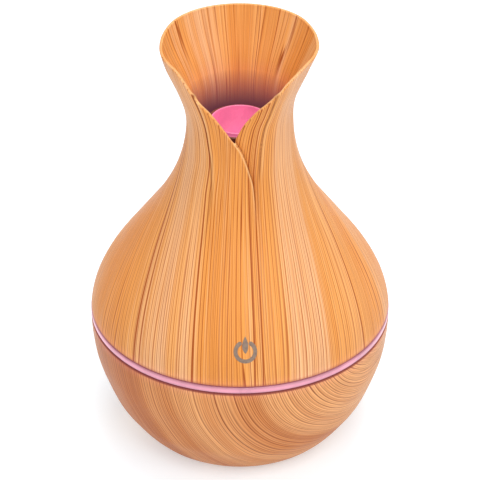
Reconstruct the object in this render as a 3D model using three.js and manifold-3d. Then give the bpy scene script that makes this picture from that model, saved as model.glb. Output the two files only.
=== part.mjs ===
// A wick-fed ultrasonic essential oil diffuser in the shape of a small vase.
//
// The lower bowl is the water tank.  The upper vase is the head: it carries the electronics, the wick
// and the atomiser disc, turns a little on a bayonet and lifts off for filling.
// Millimetres, +Z up, the origin on the axis at the level the feet stand on, the front facing -Y.
// An azimuth is measured from the front (-Y) towards +X.
import * as THREE from "three";
import { mergeVertices } from "three/addons/utils/BufferGeometryUtils.js";
import Module from "manifold-3d";

const wasm = await Module();
wasm.setup();

// ---------------------------------------------------------------- driving dimensions
const GAP = 0.3; // between neighbouring pieces
const ROUND = 40; // facets of a large round piece
const SMALL_ROUND = 20; // facets of a tube
const TINY_ROUND = 12; // facets of a screw or a small component

// The outer outline of the closed vase, as [height, radius].
const OUTLINE = [
  [0, 31.5], [5, 36.0], [16, 43.0], [28, 47.2], [44, 49.0], [54, 47.0], [64, 41.6], [76, 32.8],
  [86, 25.6], [96, 20.5], [106, 17.6], [116, 16.8], [124, 18.2], [134, 22.3], [142, 25.2],
];
const VASE_TOP = 142;

// The rim of the mouth, as [azimuth, height]: high at the back, folded down to a notch at the front.
const RIM = [
  [-180, 142], [-150, 142], [-130, 141.8], [-110, 140.9], [-90, 139.9], [-66, 139.6], [-57, 139.1],
  [-52, 137.5], [-49, 135.6], [-46, 132.4], [-42, 129.6], [-37, 126.9], [-31, 124.2], [-22, 120.2],
  [-15, 117.3], [-8, 114.8], [-4, 117.2], [2, 120.6], [8, 123.2], [15, 126.1], [21.5, 128.3],
  [26.5, 130.2], [31, 132.5], [38, 135.7], [46, 138.3], [54, 140], [62, 140.7], [90, 140.7],
  [110, 141.2], [130, 141.9], [150, 142], [180, 142],
];

// The free edge of the left petal, which laps over the right one, as [height, azimuth].
const PETAL_EDGE = [[83, 8], [93, 10.7], [99.5, 10.4], [107, 5], [112, -1.6], [114.8, -8]];
// The fold of the right petal, to the right of that edge, as [height, azimuth].
const PETAL_FOLD = [[83, 16], [103, 18], [107, 19], [113.5, 21], [119, 24], [124.4, 28.4], [132, 30]];
const TUCK_DEPTH = 1.3; // how far the right petal lies behind the left one
const TUCK_LOW = 82; // where the lap runs out
const TUCK_FULL = 100; // where it reaches its full depth
const LEFT_FLARE = 0.9; // how far the left side of the mouth stands out of the outline
const RIGHT_FLARE = -0.6; // and how far the right side does
const EDGE_COLUMN = 10; // azimuth of the mesh column that is bent along the petal edge
const SHELL_COLUMNS = 72;

const SHELL_WALL = 2.0;
const SHELL_LOW = 46.0;
const RING_LOW = 43.6;
const RING_HIGH = SHELL_LOW - GAP;
const RING_LEG_TOP = 51.5;
const RING_LEG_OUTER = 45.6;
const RING_LEG_INNER = 44.4;

const BOWL_LOW = 0.8;
const BOWL_HIGH = 43.0;
const BOWL_FLOOR_TOP = 3.2;
const BASE_RADIUS = 31.2;
const FOOT_RADIUS = 5.0;
const FOOT_CENTRE = 22.0;
const FOOT_RECESS_TOP = 2.0;

const LINER_GAP = 0.4;
const LINER_WALL = 1.4;
const LINER_FLOOR = 3.6;
const FLANGE_LOW = 41.6;
const COLLAR_INNER = 34.0;
const COLLAR_OUTER = 35.6;
const COLLAR_TOP = 47.6;

// The bayonet: lugs on the tank's collar, hooks on the head's skirt.
const LUG_COUNT = 3;
const LUG_AZIMUTH = 0;
const LUG_WIDTH = 18;
const LUG_OUTER = 37.2;
const LUG_LOW = 45.8;
const LUG_HIGH = 47.0;
const TWIST = 30; // from dropped-in to locked
const STOP_START = 10.2; // azimuth of the stop rib from its lug's middle
const STOP_WIDTH = 3;
const HOOK_INNER = 36.4;
const HOOK_HIGH = 45.4;

const SKIRT_INNER = 38.0;
const SKIRT_OUTER = 39.4;
const SKIRT_LOW = 44.2;
const DECK_LOW = 49.4;
const DECK_HIGH = 51.0;
const GUTTER_LOW = 46.6;
const GUTTER_HIGH = 48.0;
const CHASSIS_RADIUS = 44.0;
const HUB_RADIUS = 8.3;
const HUB_LOW = 45.0;
const TUBE_HOLE = 6.3;

const CASE_SCREW_CENTRE = 41.8;
const CASE_SCREW_AZIMUTHS = [45, 135, 225, 315];
const CASE_BOSS_RADIUS = 2.05;
const CASE_BOSS_TOP = 66;
const CASE_PILOT_TOP = 56.5;
const SCREW_HOLE = 1.2;

const BOARD_LOW = 52.6;
const BOARD_HIGH = 54.0;
const BOARD_RADIUS = 43.2;
const ON_BOARD = BOARD_HIGH + GAP;
const BOARD_SCREW_CENTRE = 31;
const BOARD_SCREW_AZIMUTHS = [20, 140, 260];
const STANDOFF_RADIUS = 3.0;
const STANDOFF_HOLE = 1.05;

const TUBE_INNER = 4.7;
const TUBE_OUTER = 5.8;
const TUBE_LOW = 9.5;
const TUBE_HIGH = 95.9;
const TUBE_FLANGE = 8.4;
const TUBE_FLANGE_LOW = 94.4;
const CAP_LOW = 8.0;
const CAP_HIGH = 17.0;
const CAP_OUTER = 7.2;
const CAP_INNER = TUBE_OUTER + GAP;
const CAP_FLOOR = 9.2;
const WICK_RADIUS = 4.0;
const WICK_LOW = 15.3;
const WICK_HIGH = 98.4;

const SLEEVE_INNER = 10.0;
const SLEEVE_OUTER = 10.9;
const SLEEVE_HIGH = 113.3;
const DRIP_PLATE_RADIUS = 14.0;
const DRIP_PLATE_LOW = 103.0;
const DRIP_PLATE_HIGH = 104.4;
const NOZZLE_TOP = 114.0;
const NOZZLE_OUTER = 9.7;
const NOZZLE_LIP = 9.3;
const NOZZLE_BORE = 8.7;
const NOZZLE_LOW = 56.5;

const USB_WIDTH = 7.6;
const USB_HEIGHT = 2.8;
const USB_DEPTH = 7.0;
const USB_FACE = 45.0; // distance of its mouth from the axis
const USB_CLEARANCE = 0.5;

// ---------------------------------------------------------------- colours
const wood = { color: 0xe9a55f, roughness: 0.45, metalness: 0 };
const glowingPink = { color: 0xf08aa6, roughness: 0.3, metalness: 0, emissive: 0xd0406a };
const whitePlastic = { color: 0xefece4, roughness: 0.5, metalness: 0 };
const brownPlastic = { color: 0x7c4a30, roughness: 0.55, metalness: 0 };
const paleSilicone = { color: 0xd9d6cf, roughness: 0.7, metalness: 0 };
const greyRubber = { color: 0x4a4845, roughness: 0.85, metalness: 0 };
const greenBoard = { color: 0x1f6b43, roughness: 0.5, metalness: 0 };
const blackEpoxy = { color: 0x1c1c1e, roughness: 0.5, metalness: 0 };
const ledLens = { color: 0xfff1d8, roughness: 0.2, metalness: 0, emissive: 0xd06080 };
const steel = { color: 0xb9bcc0, roughness: 0.3, metalness: 1 };
const bronze = { color: 0xc59a4e, roughness: 0.35, metalness: 1 };
const aluminium = { color: 0xc9cdd2, roughness: 0.35, metalness: 1 };
const ceramic = { color: 0xcfc7b4, roughness: 0.5, metalness: 0 };
const cotton = { color: 0xf4efe2, roughness: 0.95, metalness: 0 };
const redWire = { color: 0xb8242a, roughness: 0.5, metalness: 0 };
const blackWire = { color: 0x222222, roughness: 0.5, metalness: 0 };

// ---------------------------------------------------------------- curves and small helpers
const radians = THREE.MathUtils.degToRad;
const clamp = THREE.MathUtils.clamp;
const smoothstep = THREE.MathUtils.smoothstep;

// The value of a list of [key, value] points at a key, straight between the points.
function between(points, key) {
  const last = points.length - 1;
  const inside = clamp(key, points[0][0], points[last][0]);
  const next = Math.max(1, points.findIndex(([k]) => k >= inside));
  const [k0, v0] = points[next - 1];
  const [k1, v1] = points[next];
  return v0 + ((v1 - v0) * (inside - k0)) / (k1 - k0);
}

// The outline as a smooth curve, sampled closely enough to be read straight between samples.
const outlineCurve = new THREE.SplineCurve(OUTLINE.map(([z, r]) => new THREE.Vector2(z, r)));
const outlineSamples = outlineCurve.getPoints(20 * OUTLINE.length).map((p) => [p.x, p.y]);
const outerRadius = (z) => between(outlineSamples, z);

// Points of the outline at the given heights, pulled in by inset.
const outlineStretch = (heights, inset) => heights.map((z) => [outerRadius(z) - inset, z]);

// A solid of revolution about +Z.  The section is a list of [radius, height].
function lathe(section, facets) {
  const points = section.map(([r, z]) => new THREE.Vector2(r, z));
  return new THREE.LatheGeometry(points, facets).rotateX(Math.PI / 2);
}

const disc = (radius, low, high, facets) =>
  lathe([[0, low], [radius, low], [radius, high], [0, high]], facets);

const ring = (inner, outer, low, high, facets) =>
  lathe([[inner, low], [outer, low], [outer, high], [inner, high], [inner, low]], facets);

const box = (width, depth, height) => new THREE.BoxGeometry(width, depth, height);

// A place at an azimuth and radius.
function polar(azimuth, radius, z) {
  const a = radians(azimuth);
  return new THREE.Vector3(radius * Math.sin(a), -radius * Math.cos(a), z);
}

// Moves a geometry out to an azimuth and radius, its own -Y side facing outwards.
function placed(geometry, azimuth, radius, z) {
  const at = polar(azimuth, radius, z);
  return geometry.rotateZ(radians(azimuth)).translate(at.x, at.y, at.z);
}

// A block bent round the axis: from one azimuth to another, between two radii and two heights.
function sector(start, end, inner, outer, low, high) {
  const from = radians(start - 90);
  const to = radians(end - 90);
  const outline = new THREE.Shape();
  outline.absarc(0, 0, outer, from, to, false);
  outline.absarc(0, 0, inner, to, from, true);
  const settings = { depth: high - low, bevelEnabled: false, curveSegments: 3 };
  return new THREE.ExtrudeGeometry(outline, settings).translate(0, 0, low);
}

// A round rod of the given radius along a curve.
function rod(curve, radius, sides, steps) {
  const outline = new THREE.Shape();
  outline.absarc(0, 0, radius, 0, 2 * Math.PI, false);
  const settings = { extrudePath: curve, steps, curveSegments: sides, bevelEnabled: false };
  return new THREE.ExtrudeGeometry(outline, settings);
}

function solidOf(geometry) {
  const bare = new THREE.BufferGeometry().setAttribute("position", geometry.getAttribute("position"));
  bare.setIndex(geometry.getIndex());
  const merged = mergeVertices(bare, 1e-4);
  const vertProperties = merged.getAttribute("position").array;
  const triVerts = new Uint32Array(merged.getIndex().array);
  return new wasm.Manifold(new wasm.Mesh({ numProp: 3, vertProperties, triVerts }));
}

function geometryOf(solid) {
  const cut = solid.getMesh();
  const geometry = new THREE.BufferGeometry();
  geometry.setAttribute("position", new THREE.BufferAttribute(cut.vertProperties, 3));
  geometry.setIndex(new THREE.BufferAttribute(cut.triVerts, 1));
  geometry.computeVertexNormals();
  return geometry;
}

const joined = (geometry, additions) =>
  geometryOf(additions.reduce((solid, extra) => solid.add(solidOf(extra)), solidOf(geometry)));

const cut = (geometry, tools) =>
  geometryOf(tools.reduce((solid, tool) => solid.subtract(solidOf(tool)), solidOf(geometry)));

const common = (a, b) => geometryOf(solidOf(a).intersect(solidOf(b)));

function piece(name, geometry, look) {
  const mesh = new THREE.Mesh(geometry, new THREE.MeshStandardMaterial(look));
  mesh.name = name;
  return mesh;
}

// ---------------------------------------------------------------- tank
function lowerBowl() {
  const outside = outlineStretch([3, 6, 10, 16, 23, 31, 38], 0);
  const inside = outlineStretch([38, 31, 23, 16, 10, 6, BOWL_FLOOR_TOP], SHELL_WALL);
  const rim = outerRadius(BOWL_HIGH);
  const section = [
    [0, BOWL_LOW], [BASE_RADIUS, BOWL_LOW], [BASE_RADIUS + 1.6, 1.6], ...outside,
    [rim, BOWL_HIGH - 0.4], [rim - 0.4, BOWL_HIGH], [rim - SHELL_WALL, BOWL_HIGH],
    ...inside, [0, BOWL_FLOOR_TOP],
  ];
  const recesses = footAzimuths().map((azimuth) =>
    placed(disc(FOOT_RADIUS + GAP, 0, FOOT_RECESS_TOP, TINY_ROUND), azimuth, FOOT_CENTRE, 0));
  return cut(lathe(section, ROUND), recesses);
}

const footAzimuths = () => [45, 135, 225, 315];

const foot = (azimuth) =>
  placed(disc(FOOT_RADIUS, 0, FOOT_RECESS_TOP - GAP, TINY_ROUND), azimuth, FOOT_CENTRE, 0);

// The water cup: it stands in the bowl, and its flange closes the bowl round the filling mouth.
function tankLiner() {
  const outerInset = SHELL_WALL + LINER_GAP;
  const innerInset = outerInset + LINER_WALL;
  const outside = outlineStretch([LINER_FLOOR, 6, 10, 16, 23, 31, 38], outerInset);
  const floorTop = LINER_FLOOR + LINER_WALL;
  const inside = outlineStretch([38, 31, 23, 16, 10, floorTop], innerInset);
  const flangeOuter = outerRadius(FLANGE_LOW) - outerInset;
  const section = [
    [0, LINER_FLOOR], ...outside, [flangeOuter, FLANGE_LOW], [flangeOuter, BOWL_HIGH],
    [COLLAR_OUTER, BOWL_HIGH], [COLLAR_OUTER, COLLAR_TOP], [COLLAR_INNER, COLLAR_TOP],
    [COLLAR_INNER, FLANGE_LOW], [flangeOuter - LINER_WALL, FLANGE_LOW], ...inside, [0, floorTop],
  ];
  const bite = 0.6; // how deep a lug is rooted in the collar
  const lugs = [];
  for (let i = 0; i < LUG_COUNT; i += 1) {
    const middle = LUG_AZIMUTH + (i * 360) / LUG_COUNT;
    const half = LUG_WIDTH / 2;
    lugs.push(sector(middle - half, middle + half, COLLAR_OUTER - bite, LUG_OUTER, LUG_LOW, LUG_HIGH));
    const stop = middle - STOP_START;
    lugs.push(sector(stop - STOP_WIDTH, stop, COLLAR_OUTER - bite, LUG_OUTER, SKIRT_LOW, LUG_HIGH));
  }
  return joined(lathe(section, ROUND), lugs);
}

const sealRing = () =>
  lathe([[33.8, 47.9], [35.9, 47.9], [36.3, 48.5], [35.9, 49.1], [33.8, 49.1], [33.4, 48.5], [33.8, 47.9]],
    ROUND);

// ---------------------------------------------------------------- head: shells
// Azimuth at which a mesh column of the shell ends up: two columns close up to make the lap's step.
const COLUMN_SHIFTS = [[-180, -180], [-60, -60], [10, 10], [15, 10.8], [45, 45], [180, 180]];

// How much of the petal edge's lean a column takes on: all at the edge, none far from it.
const LEAN = [[-180, 0], [-60, 0], [8, 1], [12, 1], [80, 0], [180, 0]];

const edgeAzimuth = (z) => between(PETAL_EDGE, z);

function columnAzimuth(column, z) {
  const lean = between(LEAN, column);
  return between(COLUMN_SHIFTS, column) + (edgeAzimuth(z) - EDGE_COLUMN) * lean;
}

// How far the wall lies inwards of the outline, where the right petal is tucked behind the left.
function tuck(azimuth, z) {
  const edge = edgeAzimuth(z);
  const fold = between(PETAL_FOLD, z);
  if (azimuth <= edge + 0.1 || azimuth >= fold) return 0;
  const depth = TUCK_DEPTH * smoothstep(z, TUCK_LOW, TUCK_FULL);
  return (depth * (fold - azimuth)) / (fold - edge);
}

// How far the wall stands outwards of the outline, because the mouth leans a little to the left.
function mouthLean(azimuth, z) {
  const sideAzimuth = 78;
  const width = 45;
  const flare = smoothstep(z, 112, 126) * (1 - 0.6 * smoothstep(z, 134, VASE_TOP));
  const left = Math.exp(-(((azimuth + sideAzimuth) / width) ** 2));
  const right = Math.exp(-(((azimuth - sideAzimuth) / width) ** 2));
  return flare * (LEFT_FLARE * left + RIGHT_FLARE * right);
}

// Bends a shell of revolution of full height to the rim's line and lays the petals over each other.
function bendToPetals(geometry) {
  const bendLow = 84; // below this the wall is left where it is
  const position = geometry.getAttribute("position");
  for (let i = 0; i < position.count; i += 1) {
    const x = position.getX(i);
    const y = position.getY(i);
    const z = position.getZ(i);
    const radius = Math.hypot(x, y);
    const column = Math.round(THREE.MathUtils.radToDeg(Math.atan2(x, -y)) * 10) / 10;
    const inset = outerRadius(z) - radius;
    const rim = between(RIM, columnAzimuth(column, VASE_TOP));
    const share = Math.max(0, (z - bendLow) / (VASE_TOP - bendLow));
    const height = z < bendLow ? z : bendLow + share * (rim - bendLow);
    const azimuth = columnAzimuth(column, height);
    const newRadius = outerRadius(height) - inset - tuck(azimuth, height) + mouthLean(azimuth, height);
    const at = polar(azimuth, newRadius, height);
    position.setXYZ(i, at.x, at.y, at.z);
  }
  return geometry;
}

// The vase's wall: one moulding with four screw bosses inside and the slot for the socket behind.
function upperShell() {
  const rimRound = 0.5;
  const heights = [53, 61, 69, 77, 85, 94, 103, 111, 118, 125, 133];
  const outside = outlineStretch([SHELL_LOW, ...heights, VASE_TOP - rimRound], 0);
  const down = [VASE_TOP - rimRound, 133, 125, 118, 111, 103, 94, 85, 77, 69, 61, 53, SHELL_LOW];
  const inside = outlineStretch(down, SHELL_WALL);
  const crown = [[outerRadius(VASE_TOP) - SHELL_WALL / 2, VASE_TOP]];
  const wall = bendToPetals(lathe([...outside, ...crown, ...inside, outside[0]], SHELL_COLUMNS));

  const bossLow = GUTTER_HIGH + GAP;
  const heartHeights = [bossLow - 1, 54, 58, 62, 66, CASE_BOSS_TOP + 2];
  const heart = lathe([
    [0, bossLow - 1], ...outlineStretch(heartHeights, SHELL_WALL / 2), [0, CASE_BOSS_TOP + 2],
  ], SHELL_COLUMNS);
  const bosses = CASE_SCREW_AZIMUTHS.map((azimuth) => {
    const post = placed(disc(CASE_BOSS_RADIUS, bossLow, CASE_BOSS_TOP, TINY_ROUND), azimuth,
      CASE_SCREW_CENTRE, 0);
    return common(post, heart);
  });
  const pilots = CASE_SCREW_AZIMUTHS.map((azimuth) =>
    placed(disc(SCREW_HOLE, bossLow - 1, CASE_PILOT_TOP, TINY_ROUND), azimuth, CASE_SCREW_CENTRE, 0));
  const slot = box(USB_WIDTH + 2 * USB_CLEARANCE, 8, USB_HEIGHT + 2 * USB_CLEARANCE)
    .translate(0, USB_FACE, ON_BOARD + USB_HEIGHT / 2);
  return cut(joined(wall, bosses), [...pilots, slot]);
}

// The glowing band: a lip that shows between bowl and vase, and a leg that takes in the light.
function lightRing() {
  const outer = outerRadius((RING_LOW + RING_HIGH) / 2);
  return lathe([
    [RING_LEG_INNER, RING_LOW], [outer - 0.4, RING_LOW], [outer, RING_LOW + 0.5],
    [outer, RING_HIGH - 0.5], [outer - 0.4, RING_HIGH], [RING_LEG_OUTER, RING_HIGH],
    [RING_LEG_OUTER, RING_LEG_TOP], [RING_LEG_INNER, RING_LEG_TOP], [RING_LEG_INNER, RING_LOW],
  ], ROUND);
}

// The floor of the head: deck, skirt with bayonet hooks, gutter for the lights and hub for the wick tube.
function chassis() {
  const section = [
    [TUBE_HOLE, HUB_LOW], [HUB_RADIUS, HUB_LOW], [HUB_RADIUS, DECK_LOW], [SKIRT_INNER, DECK_LOW],
    [SKIRT_INNER, SKIRT_LOW], [SKIRT_OUTER, SKIRT_LOW], [SKIRT_OUTER, GUTTER_LOW],
    [CHASSIS_RADIUS, GUTTER_LOW], [CHASSIS_RADIUS, GUTTER_HIGH], [SKIRT_OUTER, GUTTER_HIGH],
    [SKIRT_OUTER, DECK_HIGH], [TUBE_HOLE, DECK_HIGH], [TUBE_HOLE, HUB_LOW],
  ];
  const bite = 0.6;
  const half = LUG_WIDTH / 2;
  const additions = [];
  for (let i = 0; i < LUG_COUNT; i += 1) {
    const middle = LUG_AZIMUTH + TWIST + (i * 360) / LUG_COUNT;
    additions.push(
      sector(middle - half, middle + half, HOOK_INNER, SKIRT_INNER + bite, SKIRT_LOW, HOOK_HIGH));
  }
  for (const azimuth of BOARD_SCREW_AZIMUTHS) {
    const post = disc(STANDOFF_RADIUS, DECK_HIGH - bite, BOARD_LOW - GAP, TINY_ROUND);
    additions.push(placed(post, azimuth, BOARD_SCREW_CENTRE, 0));
  }
  const holes = CASE_SCREW_AZIMUTHS.map((azimuth) =>
    placed(disc(SCREW_HOLE, GUTTER_LOW - 1, GUTTER_HIGH + 1, TINY_ROUND), azimuth, CASE_SCREW_CENTRE, 0));
  const pilots = BOARD_SCREW_AZIMUTHS.map((azimuth) =>
    placed(disc(STANDOFF_HOLE, DECK_LOW - 1, BOARD_LOW, TINY_ROUND), azimuth, BOARD_SCREW_CENTRE, 0));
  return cut(joined(lathe(section, ROUND), additions), [...holes, ...pilots]);
}

// A pan-head screw driven upwards, head down, at the origin's height of its seat.
function screw(headRadius, headHeight, shankRadius, length) {
  const edge = 0.4;
  return lathe([
    [0, -headHeight], [headRadius - edge, -headHeight], [headRadius, -headHeight + edge],
    [headRadius, 0], [shankRadius, 0], [shankRadius, length - 1], [0, length],
  ], TINY_ROUND);
}

const caseScrew = (azimuth) =>
  placed(screw(1.9, 1.4, 0.9, 9), azimuth, CASE_SCREW_CENTRE, GUTTER_LOW - GAP);

const boardScrew = (azimuth) =>
  placed(screw(1.7, 1.2, 0.75, 4.6).rotateX(Math.PI), azimuth, BOARD_SCREW_CENTRE, ON_BOARD);

// ---------------------------------------------------------------- head: mist column
// The opaque sleeve round the nozzle, with a drip plate that keeps spilt water off the electronics.
function mistSleeve() {
  const footRadius = 13.5;
  const footTop = ON_BOARD + 1.2;
  const sleeve = lathe([
    [SLEEVE_INNER, ON_BOARD], [footRadius, ON_BOARD], [footRadius, footTop], [SLEEVE_OUTER, footTop],
    [SLEEVE_OUTER, DRIP_PLATE_LOW], [DRIP_PLATE_RADIUS, DRIP_PLATE_LOW],
    [DRIP_PLATE_RADIUS, DRIP_PLATE_HIGH], [SLEEVE_OUTER, DRIP_PLATE_HIGH], [SLEEVE_OUTER, SLEEVE_HIGH],
    [SLEEVE_INNER, SLEEVE_HIGH], [SLEEVE_INNER, ON_BOARD],
  ], SMALL_ROUND);
  const leadNotch = box(5.5, 4.8, 4).translate(-12, 0, ON_BOARD + 1);
  return cut(sleeve, [leadNotch]);
}

// The translucent nozzle: its tube carries light up from the board to the glowing cup.
const nozzleCup = () => lathe([
  [NOZZLE_BORE, NOZZLE_LOW], [NOZZLE_OUTER, NOZZLE_LOW], [NOZZLE_OUTER, NOZZLE_TOP - 1.5],
  [NOZZLE_LIP, NOZZLE_TOP - 0.9], [NOZZLE_LIP, NOZZLE_TOP], [NOZZLE_BORE + 0.1, NOZZLE_TOP],
  [NOZZLE_BORE, NOZZLE_TOP - 0.6], [NOZZLE_BORE, NOZZLE_LOW],
], SMALL_ROUND);

const discCap = () => lathe([
  [3.2, 100.2], [TUBE_FLANGE, 100.2], [TUBE_FLANGE, 102.6], [6.0, 102.6], [3.2, 101.2], [3.2, 100.2],
], SMALL_ROUND);

const meshPlate = () =>
  lathe([[0, 98.7], [5.6, 98.7], [5.6, 98.95], [2.2, 98.95], [1.4, 99.2], [0, 99.2]], SMALL_ROUND);

// The tube that holds the wick, open to the water through slots near its foot.
function wickTube() {
  const tube = lathe([
    [TUBE_INNER, TUBE_LOW], [TUBE_OUTER, TUBE_LOW], [TUBE_OUTER, TUBE_FLANGE_LOW],
    [TUBE_FLANGE, TUBE_FLANGE_LOW], [TUBE_FLANGE, TUBE_HIGH], [TUBE_INNER, TUBE_HIGH],
    [TUBE_INNER, TUBE_LOW],
  ], SMALL_ROUND);
  const slots = [22, 30, 38].map((z) => box(2.4, 14, 5).translate(0, 0, z));
  const leadNotch = box(3, 4.4, 3).translate(-8.0, 0, (TUBE_FLANGE_LOW + TUBE_HIGH) / 2);
  return cut(tube, [...slots, leadNotch]);
}

const wickCap = () => lathe([
  [1.6, CAP_LOW], [CAP_OUTER - 0.8, CAP_LOW], [CAP_OUTER, CAP_LOW + 0.8], [CAP_OUTER, CAP_HIGH],
  [CAP_INNER, CAP_HIGH], [CAP_INNER, CAP_FLOOR], [1.6, CAP_FLOOR], [1.6, CAP_LOW],
], SMALL_ROUND);

const wick = () => lathe([
  [0, WICK_LOW], [WICK_RADIUS - 0.4, WICK_LOW], [WICK_RADIUS, WICK_LOW + 0.5],
  [WICK_RADIUS, WICK_HIGH - 0.5], [WICK_RADIUS - 0.4, WICK_HIGH], [0, WICK_HIGH],
], SMALL_ROUND);

class Helix extends THREE.Curve {
  constructor(radius, low, high, turns) {
    super();
    this.radius = radius;
    this.low = low;
    this.high = high;
    this.turns = turns;
  }

  getPoint(t) {
    const angle = 2 * Math.PI * this.turns * t;
    const z = this.low + (this.high - this.low) * t;
    return new THREE.Vector3(this.radius * Math.cos(angle), this.radius * Math.sin(angle), z);
  }
}

const wickSpring = () => rod(new Helix(3.4, CAP_FLOOR + GAP + 0.4, WICK_LOW - GAP - 0.4, 4), 0.35, 3, 40);

// ---------------------------------------------------------------- head: electronics
function controlBoard() {
  const board = ring(TUBE_HOLE, BOARD_RADIUS, BOARD_LOW, BOARD_HIGH, ROUND);
  const below = BOARD_LOW - 1;
  const above = BOARD_HIGH + 1;
  const notches = CASE_SCREW_AZIMUTHS.map((azimuth) =>
    placed(disc(CASE_BOSS_RADIUS + 0.5, below, above, TINY_ROUND), azimuth, CASE_SCREW_CENTRE, 0));
  const holes = BOARD_SCREW_AZIMUTHS.map((azimuth) =>
    placed(disc(STANDOFF_HOLE, below, above, TINY_ROUND), azimuth, BOARD_SCREW_CENTRE, 0));
  return cut(board, [...notches, ...holes]);
}

// The micro-USB socket's steel shell, its mouth to the rear.
function usbSocket() {
  const wall = 0.35;
  const middle = ON_BOARD + USB_HEIGHT / 2;
  const outline = socketOutline(USB_WIDTH / 2, USB_HEIGHT / 2);
  const hollow = socketOutline(USB_WIDTH / 2 - wall, USB_HEIGHT / 2 - wall);
  const shell = new THREE.ExtrudeGeometry(outline, { depth: USB_DEPTH, bevelEnabled: false });
  const bore = new THREE.ExtrudeGeometry(hollow, { depth: USB_DEPTH, bevelEnabled: false });
  bore.translate(0, 0, 1.2);
  return cut(shell, [bore]).rotateX(-Math.PI / 2).translate(0, USB_FACE - USB_DEPTH, middle);
}

// A flat-topped outline with its lower corners cut off, as a micro-USB mouth has.
function socketOutline(halfWidth, halfHeight) {
  const corner = 0.9;
  const outline = new THREE.Shape();
  outline.moveTo(-halfWidth, -halfHeight);
  outline.lineTo(halfWidth, -halfHeight);
  outline.lineTo(halfWidth, halfHeight - corner);
  outline.lineTo(halfWidth - corner, halfHeight);
  outline.lineTo(corner - halfWidth, halfHeight);
  outline.lineTo(-halfWidth, halfHeight - corner);
  outline.closePath();
  return outline;
}

const usbTongue = () => box(3.8, 4.2, 0.7).translate(0, USB_FACE - 3.2, ON_BOARD + USB_HEIGHT / 2 + 0.2);

const ringLed = (azimuth) => placed(box(3.4, 2.6, 2.0), azimuth, 41.6, BOARD_LOW - GAP - 1.0);

const nozzleLed = (azimuth) => placed(box(2.4, 2.0, 1.4), azimuth, 7.9, ON_BOARD + 0.7);

// A drum-core inductor: two flanges and a wound waist.
const inductor = () => placed(lathe([
  [0, 0], [3.6, 0], [3.6, 1.0], [2.9, 1.3], [2.9, 3.5], [3.6, 3.8], [3.6, 4.8], [0, 4.8],
], TINY_ROUND), 120, 26, ON_BOARD);

const capacitor = () => placed(lathe([
  [0, 0], [2.6, 0], [2.6, 1.0], [2.4, 1.3], [2.6, 1.6], [2.6, 6.4], [2.2, 6.8], [0, 6.8],
], TINY_ROUND), 60, 24, ON_BOARD);

const controllerChip = () => placed(box(6.2, 5.0, 1.6), 230, 27, ON_BOARD + 0.8);

const discConnector = () => box(6.0, 7.0, 4.5).translate(-20, 0, ON_BOARD + 2.25);

// The bent leaf that couples the board to the touch-sensitive spot behind the front wall.
function touchContact() {
  const width = 4;
  const outline = new THREE.Shape();
  outline.moveTo(37.6, ON_BOARD);
  outline.lineTo(40.9, ON_BOARD);
  outline.lineTo(43.1, 56.6);
  outline.lineTo(41.1, 60.8);
  outline.lineTo(40.7, 60.7);
  outline.lineTo(42.6, 56.7);
  outline.lineTo(40.7, ON_BOARD + 0.4);
  outline.lineTo(37.6, ON_BOARD + 0.4);
  outline.closePath();
  const leaf = new THREE.ExtrudeGeometry(outline, { depth: width, bevelEnabled: false });
  const outwards = new THREE.Vector3(0, -1, 0);
  const upwards = new THREE.Vector3(0, 0, 1);
  const sideways = new THREE.Vector3(-1, 0, 0);
  leaf.applyMatrix4(new THREE.Matrix4().makeBasis(outwards, upwards, sideways));
  return leaf.translate(width / 2, 0, 0);
}

// One of the two leads from the board's connector up inside the nozzle to the atomiser disc.
function discLead(side) {
  const y = 1.1 * side;
  const low = ON_BOARD + 1.3;
  const route = new THREE.CatmullRomCurve3([
    new THREE.Vector3(-16.6, y, low), new THREE.Vector3(-13, y, low), new THREE.Vector3(-9, y, low),
    new THREE.Vector3(-7.6, y, low + 1.2), new THREE.Vector3(-7.4, y, low + 5),
    new THREE.Vector3(-7.4, y, 76), new THREE.Vector3(-7.4, y, 97.3),
  ]);
  return rod(route, 0.45, 3, 26);
}

// ---------------------------------------------------------------- assembly
const tank = new THREE.Group();
tank.add(piece("lower_bowl", lowerBowl(), wood));
tank.add(piece("tank_liner", tankLiner(), whitePlastic));
footAzimuths().forEach((azimuth, i) => tank.add(piece(`foot_${i + 1}`, foot(azimuth), greyRubber)));

const seal = new THREE.Group();
seal.add(piece("seal_ring", sealRing(), paleSilicone));

const head = new THREE.Group();
head.add(piece("upper_shell", upperShell(), wood));
head.add(piece("light_ring", lightRing(), glowingPink));
head.add(piece("chassis", chassis(), whitePlastic));
CASE_SCREW_AZIMUTHS.forEach((azimuth, i) =>
  head.add(piece(`case_screw_${i + 1}`, caseScrew(azimuth), steel)));

const mistColumn = new THREE.Group();
mistColumn.add(piece("mist_sleeve", mistSleeve(), brownPlastic));
mistColumn.add(piece("nozzle_cup", nozzleCup(), glowingPink));
mistColumn.add(piece("disc_cap", discCap(), whitePlastic));
mistColumn.add(piece("disc_gasket_upper", ring(6.0, 7.8, 98.7, 99.9, SMALL_ROUND), paleSilicone));
mistColumn.add(piece("mesh_plate", meshPlate(), steel));
mistColumn.add(piece("piezo_ring", ring(4.2, 8.0, 97.7, 98.4, SMALL_ROUND), ceramic));
mistColumn.add(piece("disc_gasket_lower", ring(5.2, 6.6, 96.2, 97.4, SMALL_ROUND), paleSilicone));
mistColumn.add(piece("wick_tube", wickTube(), whitePlastic));
mistColumn.add(piece("wick_cap", wickCap(), whitePlastic));
head.add(mistColumn);

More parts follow.
